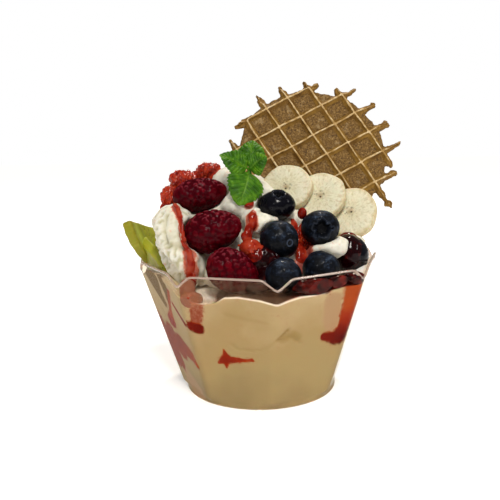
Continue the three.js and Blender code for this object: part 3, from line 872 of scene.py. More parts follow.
def raspberryMaterial():
    material, tree = startMaterial(
        "raspberryRed", Roughness=0.34, Subsurface_Weight=0.15, Subsurface_Scale=0.0015,
        Coat_Weight=0.12, Coat_Roughness=0.1, Specular_IOR_Level=0.0, Subsurface_Radius=(1.0, 0.12, 0.12))
    body = ramp(tree, grain(tree, 5, detail=3), [(0.3, "#3c0109"), (0.52, "#4c020b"), (0.75, "#620511")])
    # the gaps between the drupelets keep the darker base: painted shade in the crevices
    crest = ramp(tree, markValue(tree, "crest"), [(0.0, 0.0), (0.4, 1.0)])
    # a pinkish painted highlight on the upward edges of the drupelets
    drupeletHighlight = ramp(tree, markValue(tree, "drupeletHighlight"), [(0.3, 0.0), (1.0, 0.3)])
    colour = layered(tree, "#3a0108", (crest, body), (drupeletHighlight, "#b04a58"))
    return finished(material, Base_Color=colour, Normal=relief(tree, grain(tree, 0.35), 0.25, 0.08))


def raspberryBalls(bm, berry, index):
    chance = random.Random(index)
    long, wide = berry["length"] / 2, berry["width"] / 2
    golden = math.pi * (3 - math.sqrt(5))
    jitter = raspberry["jitter"]
    for i in range(raspberry["count"]):
        height = 1 - (2 * i + 1) / raspberry["count"]
        ring = math.sqrt(1 - height * height)
        way = Vector((height, ring * math.cos(i * golden), ring * math.sin(i * golden)))
        way += Vector([chance.uniform(-jitter, jitter) for _ in range(3)])
        way.normalize()
        spot = Vector((way.x * long, way.y * wide, way.z * wide))
        out = Vector((way.x / long, way.y / wide, way.z / wide)).normalized()
        ball = raspberry["ball"] * chance.uniform(0.85, 1.1)
        centre = spot - out * (ball + chance.uniform(0, 0.22))
        bmesh.ops.create_icosphere(bm, subdivisions=2, radius=ball, matrix=Matrix.Translation(centre))


def taperOf(points, long):
    return 1 - raspberry["taper"] * points[:, :1] / long


def addRaspberry(index, berry, material):
    bm = bmesh.new()
    long, wide = berry["length"] / 2, berry["width"] / 2
    core = raspberry["core"]
    inner = Matrix.Diagonal((long - core, wide - core, wide - core, 1))
    bmesh.ops.create_icosphere(bm, subdivisions=4, radius=1, matrix=inner)
    raspberryBalls(bm, berry, index)
    points = places(bm, 1)
    points[:, 1:] *= taperOf(points, long)
    moveTo(bm, points)
    bm = remeshed(bm, raspberry["voxel"], 2)
    points = places(bm)
    straight = np.concatenate([points[:, :1] / long, points[:, 1:] / taperOf(points, long) / wide], axis=1)
    crest = easeBetween(*raspberry["crest"], lengthsOf(straight))
    setDown(bm, berry["at"], turnTo((1, 0, 0), berry["axis"]))
    bm.normal_update()
    # painted highlight where the drupelet edges face upwards
    upward = np.array([v.normal.z for v in bm.verts])
    drupeletHighlight = bump(crest - 0.6, 0.3) * np.clip(2 * upward - 0.6, 0, 1)
    marks = {"crest": crest, "drupeletHighlight": drupeletHighlight}
    addPiece(bm, f"raspberry_{index}_fruit", material, [f"raspberry_{index}"], marks)


addEach(raspberry["berries"], addRaspberry, raspberryMaterial())


# Blueberries: near black with a dusty bloom, a ragged crown and a small stem scar

blueberry = {
    "crown": {"radius": 2.9, "depth": 2.0, "lip": 0.5},
    "scar": {"radius": 1.3, "depth": 0.4, "lip": 0.25},
    "inset": 0.15,
    "dents": {"size": 6, "height": 0.3},
    "wrinkles": {"size": 1.4, "height": 0.1},
    "berries": [
        {"at": (7.9, -12.5, 82.2), "size": (15.9, 14.5, 13), "crown": (0.1, -0.55, 0.83),
         "crownSize": 0.9, "wet": True},
        {"at": (8.1, -27, 69.8), "size": (16, 15.6, 16), "crown": (0.3, 0.8, 0.5),
         "scar": (0.52, -0.84, -0.02)},
        {"at": (25.1, -20, 73.5), "size": (16.2, 15, 15), "crown": (0.05, -0.98, 0.05), "crownSize": 1.32},
        {"at": (9.1, -38.6, 57.8), "size": (14.6, 14, 13.6), "crown": (0.2, 0.5, 0.8)},
        {"at": (24.4, -31.6, 58.8), "size": (15.2, 14.4, 14), "crown": (-0.2, 0.6, 0.7)},
        {"at": (38.9, -15.6, 61), "size": (14, 15, 16.4), "crown": (0.3, 0.7, 0.6), "wet": True},
    ],
}


def blueberryMaterial(wet):
    name, weight, roughness = ("blueberryWet", 0.14, 0.03) if wet else ("blueberryBloom", 0.08, 0.1)
    material, tree = startMaterial(
        name, Coat_Weight=weight, Coat_Roughness=roughness, Specular_IOR_Level=0.06)
    dusted = grain(tree, 3.4, detail=8, roughness=0.78)
    # more bloom towards the top: real bloom, with painted light from above
    patches = scaled(tree, markValue(tree, "bloomAndTopLight"), 0.06, dusted)
    if wet:
        stops = [(0.3, "#060509"), (0.72, "#0e0e16")]
    else:
        stops = [(0.38, "#040508"), (0.49, "#090b10"), (0.58, "#141a26"), (0.69, "#3c495b")]
    skin = ramp(tree, patches, stops)
    # the crown hollow and scar dimple are painted near black: painted shade in the recesses
    colour = layered(
        tree, skin, (markValue(tree, "lip"), "#465062"), (markValue(tree, "shadedHollow"), "#050508"))
    rough = ramp(tree, patches, [(0.3, 0.12), (0.7, 0.3)] if wet else [(0.3, 0.35), (0.7, 0.6)])
    bumps = relief(tree, grain(tree, 0.6, detail=3), 0.25, 0.08)
    return finished(material, Base_Color=colour, Roughness=rough, Normal=bumps)


def crownShape(points, berry):
    # the hollow of the crown and the raised lip round it
    facing = Vector(berry["crown"]).normalized()
    side = facing.orthogonal().normalized()
    upWay = facing.cross(side)
    flat = np.stack([points @ np.array(side), points @ np.array(upWay)], axis=1)
    away = flatLength(flat)
    around = np.arctan2(flat[:, 1], flat[:, 0])
    crown = blueberry["crown"]
    ragged = 1 + 0.05 * np.cos(5 * around) + 0.06 * np.cos(3 * around + berry["at"][0])
    lobes = crown["radius"] * berry.get("crownSize", 1) * (ragged + 0.3 * lumps(points, 1.5, 3))
    ahead = (points @ np.array(facing)) > 0
    return easeBetween(1.0, 0.72, away / lobes) * ahead, bump(away - lobes * 1.02, 0.4) * ahead


def scarShape(points, berry):
    if "scar" not in berry:
        return np.zeros(len(points)), np.zeros(len(points))
    scar = blueberry["scar"]
    way = np.array(Vector(berry["scar"]).normalized())
    along = points @ way
    away = lengthsOf(points - way * along[:, None])
    dimple = easeBetween(scar["radius"], scar["radius"] * 0.4, away) * (along > 0)
    return dimple, bump(away - scar["radius"], 0.24) * (along > 0)


def addBlueberry(index, berry, skins):
    bm, points = roundBody(berry["size"])
    shadedHollow, lip = crownShape(points, berry)
    dimple, ring = scarShape(points, berry)
    scar = blueberry["scar"]
    depth = blueberry["crown"]["depth"] * berry.get("crownSize", 1)
    move = blueberry["crown"]["lip"] * lip - depth * shadedHollow
    move += scar["lip"] * ring - scar["depth"] * dimple
    move += rise(points, blueberry["dents"], index) - blueberry["inset"]
    move += rise(points, blueberry["wrinkles"], index)
    points = pushedOut(points, move)
    moveTo(bm, points + np.array(berry["at"]))
    # painted shade in the crown hollow and scar dimple
    marks = {"shadedHollow": np.maximum(shadedHollow, 0.7 * dimple), "lip": np.maximum(0.18 * lip, 0.8 * ring)}
    # lighter towards the top: painted light over the real bloom
    marks["bloomAndTopLight"] = points[:, 2] * 2 / berry["size"][2]
    skin = skins[berry.get("wet", False)]
    addPiece(bm, f"blueberry_{index}_fruit", skin, [f"blueberry_{index}"], marks)


addEach(blueberry["berries"], addBlueberry, {wet: blueberryMaterial(wet) for wet in (False, True)})


# Banana slices: a seeded middle, faint rays and a rim painted slightly darker as shade

banana = {
    "thickness": 4.2,
    "edge": 0.8,
    "columns": 96,
    "rings": 12,
    "facing": (-0.25, -0.8, 0.545),
    "slices": [
        {"at": (12.8, 3, 87.7), "radius": 11.2, "turn": 10},
        {"at": (27.2, 2, 83.8), "radius": 11.4, "turn": 55},
        {"at": (40.2, 0.5, 76.6), "radius": 11.8, "turn": 100},
    ],
}


def sliceCoordinates(tree):
    # a place on a slice, how far it is from the slice's middle, and its angle round it
    own = markValue(tree, "own", "Vector")
    parts = addNode(tree, "SeparateXYZ", {"Vector": own}).outputs
    flat = addNode(tree, "CombineXYZ", {"X": parts["X"], "Y": parts["Y"]}).outputs[0]
    away = addNode(tree, "VectorMath", {0: flat}, operation="LENGTH").outputs["Value"]
    return own, away, sums(tree, "ARCTAN2", parts["Y"], parts["X"])


def aroundMiddle(tree, around, away, turns, stretch):
    return addNode(tree, "CombineXYZ", {
        "X": scaled(tree, around, turns), "Y": scaled(tree, away, stretch)}).outputs[0]


def bananaMaterial():
    material, tree = startMaterial(
        "bananaFlesh", Roughness=0.5, Subsurface_Weight=0.2, Subsurface_Scale=0.002,
        Specular_IOR_Level=0.3)
    own, away, around = sliceCoordinates(tree)
    wobble = noiseAt(tree, own, 0.35, detail=3)
    # painted shade: the slice darkens slightly towards its rim
    shade = ramp(tree, scaled(tree, wobble, 0.25, scaled(tree, away, 0.07)),
                 [(0.1, "#cdc29c"), (0.34, "#d8d1b2"), (0.8, "#e0dabe"), (0.94, "#cdbe94")])
    rays = noiseAt(tree, aroundMiddle(tree, around, away, 5.0, 0.25), 1.6)
    specks = noiseAt(tree, own, 1.1, detail=5, roughness=0.7)
    seeds = ramp(tree, cellsAt(tree, own, 0.8), [(0.3, 1.0), (0.48, 0.0)])
    nearMiddle = ramp(tree, scaled(tree, away, 0.1), [(0.1, 1.0), (0.3, 0.0)])
    core = ramp(tree, scaled(tree, wobble, 0.2, scaled(tree, away, 0.1)), [(0.12, 0.6), (0.3, 0.0)])
    colour = layered(
        tree, shade, (ramp(tree, rays, [(0.5, 0.0), (0.68, 0.5)]), "#b5a577"),
        (ramp(tree, specks, [(0.52, 0.0), (0.7, 0.4)]), "#ab9d70"),
        (ramp(tree, specks, [(0.32, 0.5), (0.44, 0.0)]), "#eeead6"),
        (core, "#8a6c46"), (scaled(tree, seeds, nearMiddle), "#3c2c1c"))
    return finished(material, Base_Color=colour, Normal=relief(tree, specks, 0.35, 0.2))


def bananaDisc(radius):
    bm = disc(banana["columns"], radius, banana["thickness"])
    roundEdges(bm, banana["edge"], 5)
    caps = capsOf(bm)
    for _ in range(banana["rings"]):
        bmesh.ops.inset_region(bm, faces=caps, thickness=radius * 0.073, use_even_offset=True)
    bmesh.ops.poke(bm, faces=caps)
    bmesh.ops.triangulate(bm, faces=bm.faces)
    return bm


def addBananaSlice(index, slicePlace, material):
    bm = bananaDisc(slicePlace["radius"])
    points = places(bm, 1)
    own = points.copy()
    around = np.arctan2(points[:, 1], points[:, 0])
    wavy = 1 + 0.02 * np.cos(3 * around + index) + 0.012 * np.cos(7 * around + 2 * index)
    points[:, :2] *= wavy[:, None]
    away = flatLength(points)
    uneven = 0.2 * lumps(points * (1, 1, 0), 3, index) + 0.07 * lumps(points * (1, 1, 0), 0.9, index)
    points[:, 2] += np.sign(points[:, 2]) * (uneven - 0.4 * bump(away, 1.8))
    moveTo(bm, points)
    spin = Matrix.Rotation(math.radians(slicePlace["turn"]), 4, "Z")
    setDown(bm, slicePlace["at"], turnTo((0, 0, 1), banana["facing"]) @ spin)
    addPiece(bm, f"banana_{index}_slice", material, [f"banana_slice_{index}"], own=own)


addEach(banana["slices"], addBananaSlice, bananaMaterial())


# Kiwi slices: half discs with a pale outer band and seeds round the core

kiwi = {
    "thickness": 4.4,
    "edge": 0.5,
    "columns": 120,
    "voxel": 0.6,
    "slices": [
        {"at": (-49.7, 10.4, 70.1), "radius": 20, "facing": (0.9, -0.24, 0.37),
         "cutEdge": (0.314, 0.897, -0.314)},
        {"at": (-42.2, -14.7, 61.7), "radius": 16, "facing": (0.831, 0.476, 0.287),
         "cutEdge": (-0.549, 0.728, 0.41)},
    ],
}


def kiwiMaterial():
    material, tree = startMaterial(
        "kiwiFlesh", Roughness=0.35, Subsurface_Weight=0.25, Subsurface_Scale=0.003, Coat_Weight=0.05,
        Coat_Roughness=0.15, Specular_IOR_Level=0.1)
    own, away, around = sliceCoordinates(tree)
    wobble = noiseAt(tree, own, 0.3, detail=3)
    outwards = scaled(tree, wobble, 0.1, scaled(tree, away, 0.05))
    flesh = ramp(tree, outwards, [(0.12, "#a6a53e"), (0.3, "#999a2e"), (0.72, "#8a8c1e"), (0.86, "#a6ae48"),
                                  (1.0, "#8a8626")])
    rays = noiseAt(tree, aroundMiddle(tree, around, away, 6.0, 0.12), 2.2)
    dots = cellsAt(tree, aroundMiddle(tree, around, away, 7.0, 0.55), 1.0)
    ringed = ramp(tree, scaled(tree, away, 0.05), [(0.22, 0.0), (0.27, 1.0), (0.44, 1.0), (0.5, 0.0)])
    seeds = scaled(tree, ramp(tree, dots, [(0.16, 1.0), (0.24, 0.0)]), ringed)
    colour = layered(
        tree, flesh, (ramp(tree, rays, [(0.5, 0.0), (0.8, 0.3)]), "#b4b04e"), (seeds, "#2a1a0c"))
    return finished(material, Base_Color=colour, Normal=relief(tree, rays, 0.3, 0.2))


def halfDisc(radius):
    bm = disc(kiwi["columns"], radius, kiwi["thickness"])
    cut = bmesh.ops.bisect_plane(bm, geom=bm.verts[:] + bm.edges[:] + bm.faces[:], dist=1e-4,
                                 plane_co=(0, 0, 0), plane_no=(0, 1, 0), clear_outer=True)
    bmesh.ops.edgeloop_fill(bm, edges=[e for e in cut["geom_cut"] if isinstance(e, bmesh.types.BMEdge)])
    bmesh.ops.recalc_face_normals(bm, faces=bm.faces)
    roundEdges(bm, kiwi["edge"], 3)
    bmesh.ops.scale(bm, vec=(mm, mm, mm), verts=bm.verts)
    return remeshed(bm, kiwi["voxel"], 2)


def addKiwiSlice(index, half, material):
    bm = halfDisc(half["radius"])
    points = places(bm)
    own = points.copy()
    face = easeBetween(1.2, 2.0, np.abs(points[:, 2]))
    points[:, 2] += np.sign(points[:, 2]) * face * 0.3 * lumps(points * (1, 1, 0), 2.6, index)
    points[:, 2] += 0.6 * lumps(points * (1, 1, 0), 15, index + 4)
    moveTo(bm, points)
    inward = Vector(half["facing"]).normalized()
    along = Vector(half["cutEdge"])
    along = (along - inward * along.dot(inward)).normalized()
    setDown(bm, half["at"], turnOf(along, inward.cross(along), inward))
    addPiece(bm, f"kiwi_{index}_slice", material, [f"kiwi_slice_{index}"], own=own)


addEach(kiwi["slices"], addKiwiSlice, kiwiMaterial())


# Strawberry pieces: wet crinkled scraps in their own sauce

strawberry = {
    "lobes": {"size": 7.5, "height": 2.6},
    "ribs": {"size": (0.8, 2.2, 3.6), "height": 1.7},
    "wrinkles": {"size": 1.3, "height": 0.5},
    "pieces": [
        {"at": (-38.6, -5.5, 84), "size": (8.4, 8, 12), "tilt": (0, 0.3, 0)},
        {"at": (-32.5, 1, 92), "size": (11, 9, 13.5), "tilt": (0, 0.2, 0)},
        {"at": (-22.4, 4, 94.4), "size": (14.5, 9, 11), "tilt": (0, 0.2, 0)},
        {"at": (19, -17, 67), "size": (9, 8, 20), "tilt": (0.4, 0.15, 0)},
        {"at": (-3.6, -30, 67.5), "size": (8, 8, 6.5), "tilt": (0, -0.3, 0)},
    ],
}


def strawberryMaterial():
    material, tree = startMaterial(
        "strawberryRed", Roughness=0.18, Subsurface_Weight=0.3, Subsurface_Scale=0.002, Coat_Weight=0.4,
        Coat_Roughness=0.05, Specular_IOR_Level=0.12, Subsurface_Radius=(1.0, 0.2, 0.12))
    streaks = grain(tree, 2.6, detail=5, roughness=0.65)
    body = ramp(tree, streaks, [(0.32, "#6a0e08"), (0.46, "#9c220e"), (0.6, "#be3c18"), (0.76, "#cc7e54")])
    # painted shade: the rib valleys are darkened
    shadedInCreases = layered(tree, body, (scaled(tree, markValue(tree, "crease"), 0.7), "#5c0a06"))
    return finished(material, Base_Color=shadedInCreases, Normal=relief(tree, grain(tree, 1.0), 0.25, 0.3))


def addStrawberry(index, piece, material):
    bm, points = roundBody(piece["size"])
    lobes, ribs, wrinkles = strawberry["lobes"], strawberry["ribs"], strawberry["wrinkles"]
    lobed = lumps(points, lobes["size"], index + 10)
    ribbed = np.abs(lumps(points / np.array(ribs["size"]), 1, index + 20))
    move = lobes["height"] * (lobed - 0.1) + ribs["height"] * (ribbed - 0.3)
    move -= np.abs(rise(points, wrinkles, index + 30))
    moveTo(bm, pushedOut(points, move))
    turn = Matrix.Rotation(piece["tilt"][1], 4, "Y") @ Matrix.Rotation(piece["tilt"][0], 4, "X")
    setDown(bm, piece["at"], turn)
    # where the ribs dip, for painted shade in the creases
    marks = {"crease": easeBetween(0.16, 0.02, ribbed)}
    addPiece(bm, f"strawberry_{index}_piece", material, [f"strawberry_{index}"], marks)


addEach(strawberry["pieces"], addStrawberry, strawberryMaterial())


# Strawberry sauce: runs laid on the cream, and pools between the fruit and against the cup

sauce = {
    "voxel": 0.36,
    "step": 0.5,
    "flat": 0.42,
    "snap": 4.0,  # a drop nearer than this lies on the cream
    "fromWall": 0.4,  # kept free behind the cup's outer face
    "swell": 0.12,
    "bumps": {"size": 3.2, "height": 0.3},
    "crinkles": {"size": 2.1, "height": 0.45, "leftOf": 12, "deeperThan": 0.7},
    "runs": [
        stroke((0.6, 1.5), (-34.8, -20, 85), (-32.4, -23.7, 83.1), (-31.2, -27.3, 80.3),
               (-30.2, -30, 76.7)),
        stroke((1.4, 0.9), (-30.2, -30, 76.7), (-28.6, -33.3, 71.5)),
        stroke((1.2, 2.2), (-28.2, -33.6, 70.5), (-27.3, -34.4, 67), (-26.7, -34.2, 61.3),
               (-27, -36.4, 54.6), (-27.4, -38.4, 50)),
        stroke((1.9, 2.5), (-2.6, -24.8, 79.6), (-2.3, -25.4, 76.6), (-2.8, -27.2, 73.5),
               (-3.2, -30.6, 70.6)),
        stroke((0.8, 2.0), (-3.3, -18.4, 87.5), (-3.7, -19.8, 83.4)),
        stroke((1.4, 2.6), (14.5, -12.1, 76), (17, -19, 72), (18, -22.5, 67.5), (17.1, -25, 62)),
        stroke((2.2, 1.6), (-29, -6, 92), (-34, -13, 86)),
    ],
    "pools": [
        {"at": (1.6, -31.5, 61.5), "size": (15, 9, 14)},
        {"at": (4, -36, 56.5), "size": (11, 9, 9)},
        {"at": (-3.4, -30.9, 67.6), "size": (8.8, 8.4, 6.8), "tone": 0.34},
        {"at": (-1.2, -32, 64.6), "size": (7, 6.6, 6), "tone": 0.66},
        {"at": (-1, -41, 54.2), "size": (10, 8, 5)},
        {"at": (16.4, -41, 54), "size": (9, 7, 5.5), "tone": 0.88},
        {"at": (18.2, -14.7, 79), "size": (3.8, 3.6, 5), "tone": 0.64},
        {"at": (37.4, -16.4, 61.6), "size": (13.4, 15.6, 16.8), "tone": 1.0},
        {"at": (37.8, -11.5, 67.8), "size": (7.5, 6, 4.6), "tone": 0.7},
        {"at": (22, -41.4, 54), "size": (15, 6, 6.4), "tone": 0.83},
        {"at": (30.5, -37, 54.8), "size": (9, 5, 5), "tone": 0.83},
        {"at": (37.5, -30, 54.6), "size": (9, 8, 5.4), "tone": 0.88},
        {"at": (-28, -38.3, 53), "size": (6.4, 2.6, 9), "tone": -0.1},
        {"at": (-26.4, -39, 49), "size": (9, 2.6, 6.6), "tone": -0.1},
    ],
}


def sauceMaterial():
    material, tree = startMaterial(
        "strawberrySauce", Roughness=0.12, Subsurface_Weight=0.2, Subsurface_Scale=0.0015,
        Coat_Weight=0.18, Coat_Roughness=0.03, Specular_IOR_Level=0.06, Subsurface_Radius=(1.0, 0.2, 0.1))
    thinned = sums(tree, "SUBTRACT", markValue(tree, "thick"), 0.42)
    depth = scaled(tree, grain(tree, 2.6, detail=4), 0.9, thinned)
    body = ramp(tree, depth, [(0.0, "#90604e"), (0.25, "#a83c24"), (0.5, "#8c1c0e"), (0.75, "#5e0d08"),
                              (0.95, "#1a0204")])
    return finished(material, Base_Color=body)


def layRun(bm, run, surface):
    # flattened drops along a path, each lying on the nearest cream
    path = np.array(run["path"], float)
    lengths = lengthsOf(np.diff(path, axis=0))
    covered = np.concatenate([[0], np.cumsum(lengths)])
    for along in np.arange(0, covered[-1], sauce["step"]):
        spot = Vector([np.interp(along, covered, path[:, axis]) for axis in range(3)])
        share = along / covered[-1]
        radius = run["radius"][0] + (run["radius"][1] - run["radius"][0]) * share
        radius *= 1 + 0.22 * noise.noise(spot / 3)
        found, normal, _, away = surface.find_nearest(spot * mm)
        turn = Matrix.Identity(4)
        if away / mm < sauce["snap"]:
            spot, turn = found / mm, turnTo((0, 0, 1), normal)
        shape = Matrix.Diagonal((radius * mm, radius * mm, radius * sauce["flat"] * mm, 1))
        bmesh.ops.create_icosphere(bm, subdivisions=2, radius=1, matrix=placeAt(spot) @ turn @ shape)


def sauceDepth(points, surface):
    # 0 where the sauce is a film on the cream, 1 where it is deep
    depth = 0.2 + 0.4 * np.minimum(1, distanceTo(surface, points) / 1.3)
    for pool in sauce["pools"]:
        within = lengthsOf((points - pool["at"]) / np.array(pool["size"]) * 2) < 1.25
        depth[within] = pool.get("tone", 1.0)
    return depth


def addSauce(surface):
    bm = bmesh.new()
    for run in sauce["runs"]:
        layRun(bm, run, surface)
    for pool in sauce["pools"]:
        shape = Matrix.Diagonal((*[s / 2 * mm for s in pool["size"]], 1))
        bmesh.ops.create_icosphere(bm, subdivisions=4, radius=1, matrix=placeAt(pool["at"]) @ shape)
    bm = remeshed(bm, sauce["voxel"], 7)
    points = places(bm)
    thick = sauceDepth(points, surface)
    crinkles = sauce["crinkles"]
    crinkled = (thick > crinkles["deeperThan"]) * (points[:, 0] < crinkles["leftOf"])
    swell(bm, sauce["swell"] + rise(points, sauce["bumps"], 6) + rise(points, crinkles, 7) * crinkled)
    moveTo(bm, keptInside(places(bm), sauce["fromWall"]))
    addPiece(bm, "strawberry_sauce", sauceMaterial(), marks={"thick": thick})


addSauce(creamSurface)


# Mint: quilted leaves with a toothed edge, a midrib and side veins

mint = {
    "joint": (-3.5, -13, 97),
    "stemFoot": (-1.5, -6, 84),
    "stemThickness": 1.7,
    "thickness": 0.4,
    "columns": 120,
    "rows": 48,
    "stalk": 0.1,
    "arch": 0.12,
    "waver": 0.35,
    "teeth": {"count": 10, "depth": 0.13},
    "veins": {"spacing": 0.125, "depth": 0.35, "quilt": 0.55},
    "crumple": {"size": 3.2, "height": 1.1},
    "leaves": [
        {"tip": (-7.9, -21, 83.3), "width": 16.5, "up": (0.1, -0.85, -0.2), "cup": 0.16, "crumpled": 0.35},
        {"tip": (-15.4, -15, 103.4), "width": 11, "up": (0.1, -0.8, 0.5), "cup": 0.12, "crumpled": 1},
        {"tip": (-1.6, -6, 109), "width": 12.5, "up": (0, -0.6, 0.75), "cup": 0.12, "crumpled": 1},
        {"tip": (3.4, -15.5, 102.8), "width": 11, "up": (-0.2, -0.85, 0.45), "cup": 0.14, "crumpled": 1},
    ],
}


def mintMaterial():
    material, tree = startMaterial(
        "mintLeaf", Roughness=0.5, Subsurface_Weight=0.15, Subsurface_Scale=0.001,
        Specular_IOR_Level=0.2, Subsurface_Radius=(0.5, 1.0, 0.2))
    body = ramp(tree, grain(tree, 3.4, detail=4), [(0.3, "#234a04"), (0.5, "#3a6a07"), (0.72, "#628f14")])
    colour = layered(tree, body, (markValue(tree, "veinMark"), "#729c30"))
    return finished(material, Base_Color=colour, Normal=relief(tree, grain(tree, 0.6), 0.3, 0.1))


def leafOutline(leaf, blade, side):
    teeth = mint["teeth"]
    tooth = np.mod(blade * teeth["count"], 1)
    toothed = 1 - teeth["depth"] * (1 - tooth) * np.abs(side) ** 5
    rounded = np.sin(math.pi * np.minimum(blade, 1) ** 0.7) ** 0.75
    return np.maximum(0.45, leaf["width"] / 2 * rounded * toothed)


def leafVeins(blade, side, half):
    # how far a point is on a vein, and how high the leaf is quilted between the veins
    spacing = mint["veins"]["spacing"]
    outwards = np.abs(side)
    toVein = np.mod(blade - 0.22 * outwards, spacing) / spacing
    onSide = bump(np.minimum(toVein, 1 - toVein), 0.13) * np.clip(1.15 - outwards, 0, 1)
    onMiddle = bump(side * half, 0.35)
    quilt = np.sin(math.pi * toVein) * easeBetween(0.06, 0.4, outwards) * easeBetween(1.0, 0.75, outwards)
    quilt *= easeBetween(0.0, 0.15, blade) * easeBetween(1.0, 0.8, blade)
    return onSide, onMiddle, quilt


def leafShape(leaf, share, side):
    # points of a leaf, and how much each lies on a vein, for places along and across it
    along = Vector(leaf["tip"]) - Vector(mint["joint"])
    length = along.length
    along.normalize()
    across = along.cross(Vector(leaf["up"])).normalized()
    blade = np.maximum(0, share - mint["stalk"]) / (1 - mint["stalk"])
    half = leafOutline(leaf, blade, side)
    onSide, onMiddle, quilt = leafVeins(blade, side, half)
    veins, crumple = mint["veins"], mint["crumple"]
    bow = mint["arch"] * length * np.sin(math.pi * share) - leaf["cup"] * half * side ** 2
    wave = mint["waver"] * np.sin(9 * share) * side
    up = bow - wave + veins["quilt"] * quilt - veins["depth"] * onMiddle * (blade > 0.05)
    flat = np.stack([share * length, side * half, up], axis=1)
    rough = lumps(flat * (1, 1, 0) + leaf["tip"], crumple["size"], 2) * easeBetween(0, 0.2, blade)
    flat[:, 2] += crumple["height"] * leaf["crumpled"] * rough
    vein = np.maximum(onSide * 0.4, onMiddle * 0.8) * easeBetween(0.02, 0.12, blade)
    return flat @ np.array([along, across, across.cross(along)]) + np.array(mint["joint"]), vein


def leafSheet(leaf):
    sheet = bmesh.new()
    bmesh.ops.create_grid(sheet, x_segments=mint["columns"], y_segments=mint["rows"], size=0.5)
    flat = places(sheet, 1)
    points, vein = leafShape(leaf, flat[:, 0] + 0.5, flat[:, 1] * 2)
    moveTo(sheet, points)
    layer = sheet.verts.layers.float.new("veinMark")
    for vert, value in zip(sheet.verts, vein):
        vert[layer] = value
    thicken(sheet, mint["thickness"])
    return sheet


def addStem(bm):
    foot, joint = Vector(mint["stemFoot"]), Vector(mint["joint"])
    bend = foot.lerp(joint, 0.6) + Vector((0, 1, 0))
    radius = mint["stemThickness"] / 2 * mm
    ring = bmesh.ops.create_circle(bm, segments=12, radius=radius, cap_ends=True)["verts"]
    bmesh.ops.transform(bm, matrix=placeAt(foot) @ turnTo((0, 0, 1), bend - foot), verts=ring)
    for start, end in ((foot, bend), (bend, joint)):
        cap = [f for f in bm.faces if all(v in ring for v in f.verts)]
        grown = bmesh.ops.extrude_face_region(bm, geom=cap)
        ring = [g for g in grown["geom"] if isinstance(g, bmesh.types.BMVert)]
        bmesh.ops.translate(bm, verts=ring, vec=(end - start) * mm)


def addMint():
    bm = bmesh.new()
    for leaf in mint["leaves"]:
        pour(bm, leafSheet(leaf))
    addStem(bm)
    layer = bm.verts.layers.float["veinMark"]
    veins = np.array([v[layer] for v in bm.verts])
    addPiece(bm, "mint_leaves", mintMaterial(), ["mint_sprig"], {"veinMark": veins})


addMint()


# Waffle: a grainy plate with thin crests, torn off at its rim; the crests are painted lighter as highlight
# and the rib walls darker as shade

waffle = {
    "crossing": (26.5, 29, 109.6),
    "rowWay": (0.8733, 0.2342, 0.4271),
    "columnWay": (0.4871, -0.4272, -0.7618),
    "cell": 11.6,
    "crest": 2.7,
    "plate": 0.75,
    "pinch": 0.45,  # how much a rib narrows towards its crest
    "point": 0.45,  # and towards its torn end
    "pointOver": 7,  # how long the pointed end is
    "ribHalf": 2.3,
    "waver": {"size": 8, "far": 0.5},
    "middle": (-6.1, 7.9),
    "radius": 34.2,
    "voxel": 0.42,
    "grain": {"size": 1.5, "height": 0.34},
    "lumps": {"size": 5, "height": 0.35},
    "torn": {"size": 2.3, "height": 0.35, "over": 3},
}


def waffleMaterial():
    material, tree = startMaterial("waffleCrust", Roughness=0.6, Specular_IOR_Level=0.25)
    crest = markValue(tree, "crest")
    grains = grain(tree, 0.8, detail=5, roughness=0.75)
    crumb = ramp(tree, grains, [(0.38, "#46300c"), (0.5, "#6e4e1c"), (0.6, "#886832"), (0.7, "#b2905a")])
    # painted shade on the rib walls and a painted highlight on the crests
    wallShade = ramp(tree, grain(tree, 8, detail=3), [(0.35, "#644310"), (0.65, "#8e6a28")])
    crestHighlight = ramp(tree, grain(tree, 2.4, detail=4),
                     [(0.36, "#a07c40"), (0.5, "#c4a470"), (0.64, "#dcc498")])
    colour = layered(
        tree, crumb, (ramp(tree, grain(tree, 3.4), [(0.6, 0.0), (0.7, 0.45)]), "#a88e62"),
        (ramp(tree, crest, [(0.1, 0.0), (0.26, 1.0)]), wallShade),
        (ramp(tree, crest, [(0.74, 0.0), (0.95, 1.0)]), crestHighlight),
        (markValue(tree, "torn"), "#8a6428"))
    return finished(material, Base_Color=colour, Normal=relief(tree, grains, 0.6, 0.4))


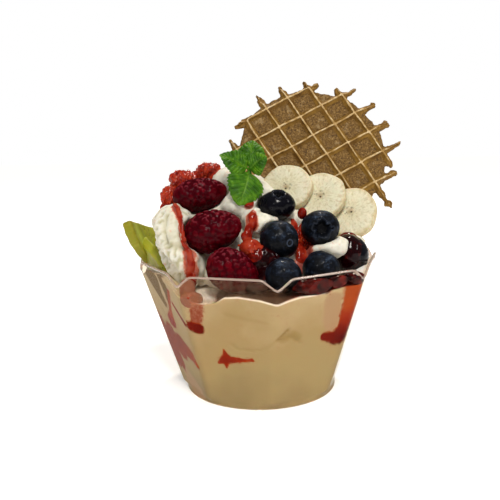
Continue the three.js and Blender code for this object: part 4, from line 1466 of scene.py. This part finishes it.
def pinchRibs(points, outwards):
    # the ribs run along whole cells; each narrows to a thin crest, and to a point where it is torn off
    high = easeBetween(0.9, 2.3, np.abs(points[:, 2]))
    waver = waffle["waver"]
    off = points[:, :2] - np.round(points[:, :2] / waffle["cell"]) * waffle["cell"]
    across = np.abs(off).argmin(axis=1)
    for axis in (0, 1):
        pointed = 1 - waffle["point"] * outwards * (across == axis)
        narrowed = 1 - (1 - waffle["pinch"] * high) * pointed
        points[:, axis] -= off[:, axis] * narrowed * (np.abs(off[:, axis]) < waffle["ribHalf"])
        points[:, axis] += waver["far"] * high * lumps(points, waver["size"], 11 + axis)
    return points


def addWaffle():
    rowWay, columnWay = Vector(waffle["rowWay"]).normalized(), Vector(waffle["columnWay"]).normalized()
    place = placeAt(waffle["crossing"]) @ turnOf(rowWay, columnWay, rowWay.cross(columnWay))
    bm = copyOfNode("waffle")
    bmesh.ops.transform(bm, matrix=place.inverted(), verts=bm.verts)
    bm = remeshed(bm, waffle["voxel"], 1)
    points = places(bm)
    crest = np.clip((np.abs(points[:, 2]) - waffle["plate"]) / (waffle["crest"] - waffle["plate"]), 0, 1)
    outside = lengthsOf(points[:, :2] - waffle["middle"]) - waffle["radius"]
    tear = waffle["torn"]
    torn = easeBetween(0, tear["over"], outside)
    points = pinchRibs(points, np.clip(outside / waffle["pointOver"], 0, 1))
    ragged = lumps(points, tear["size"], 5)
    points[:, 2] *= 1 - torn * np.clip(0.45 + 0.6 * ragged, 0, 0.7)
    aside = np.stack([rise(points, tear, 6), rise(points, tear, 7)], axis=1)
    points[:, :2] += torn[:, None] * aside
    moveTo(bm, points)
    fine = rise(points, waffle["grain"], 8) * (1 - 0.6 * crest)
    soft = rise(points, waffle["lumps"], 9)
    swell(bm, fine + soft * 0.5 - 0.3 * torn * (ragged > 0))
    bmesh.ops.transform(bm, matrix=place, verts=bm.verts)
    marks = {"crest": crest, "torn": torn * 0.4}
    addPiece(bm, "waffle_round", waffleMaterial(), ["waffle"], marks)


addWaffle()
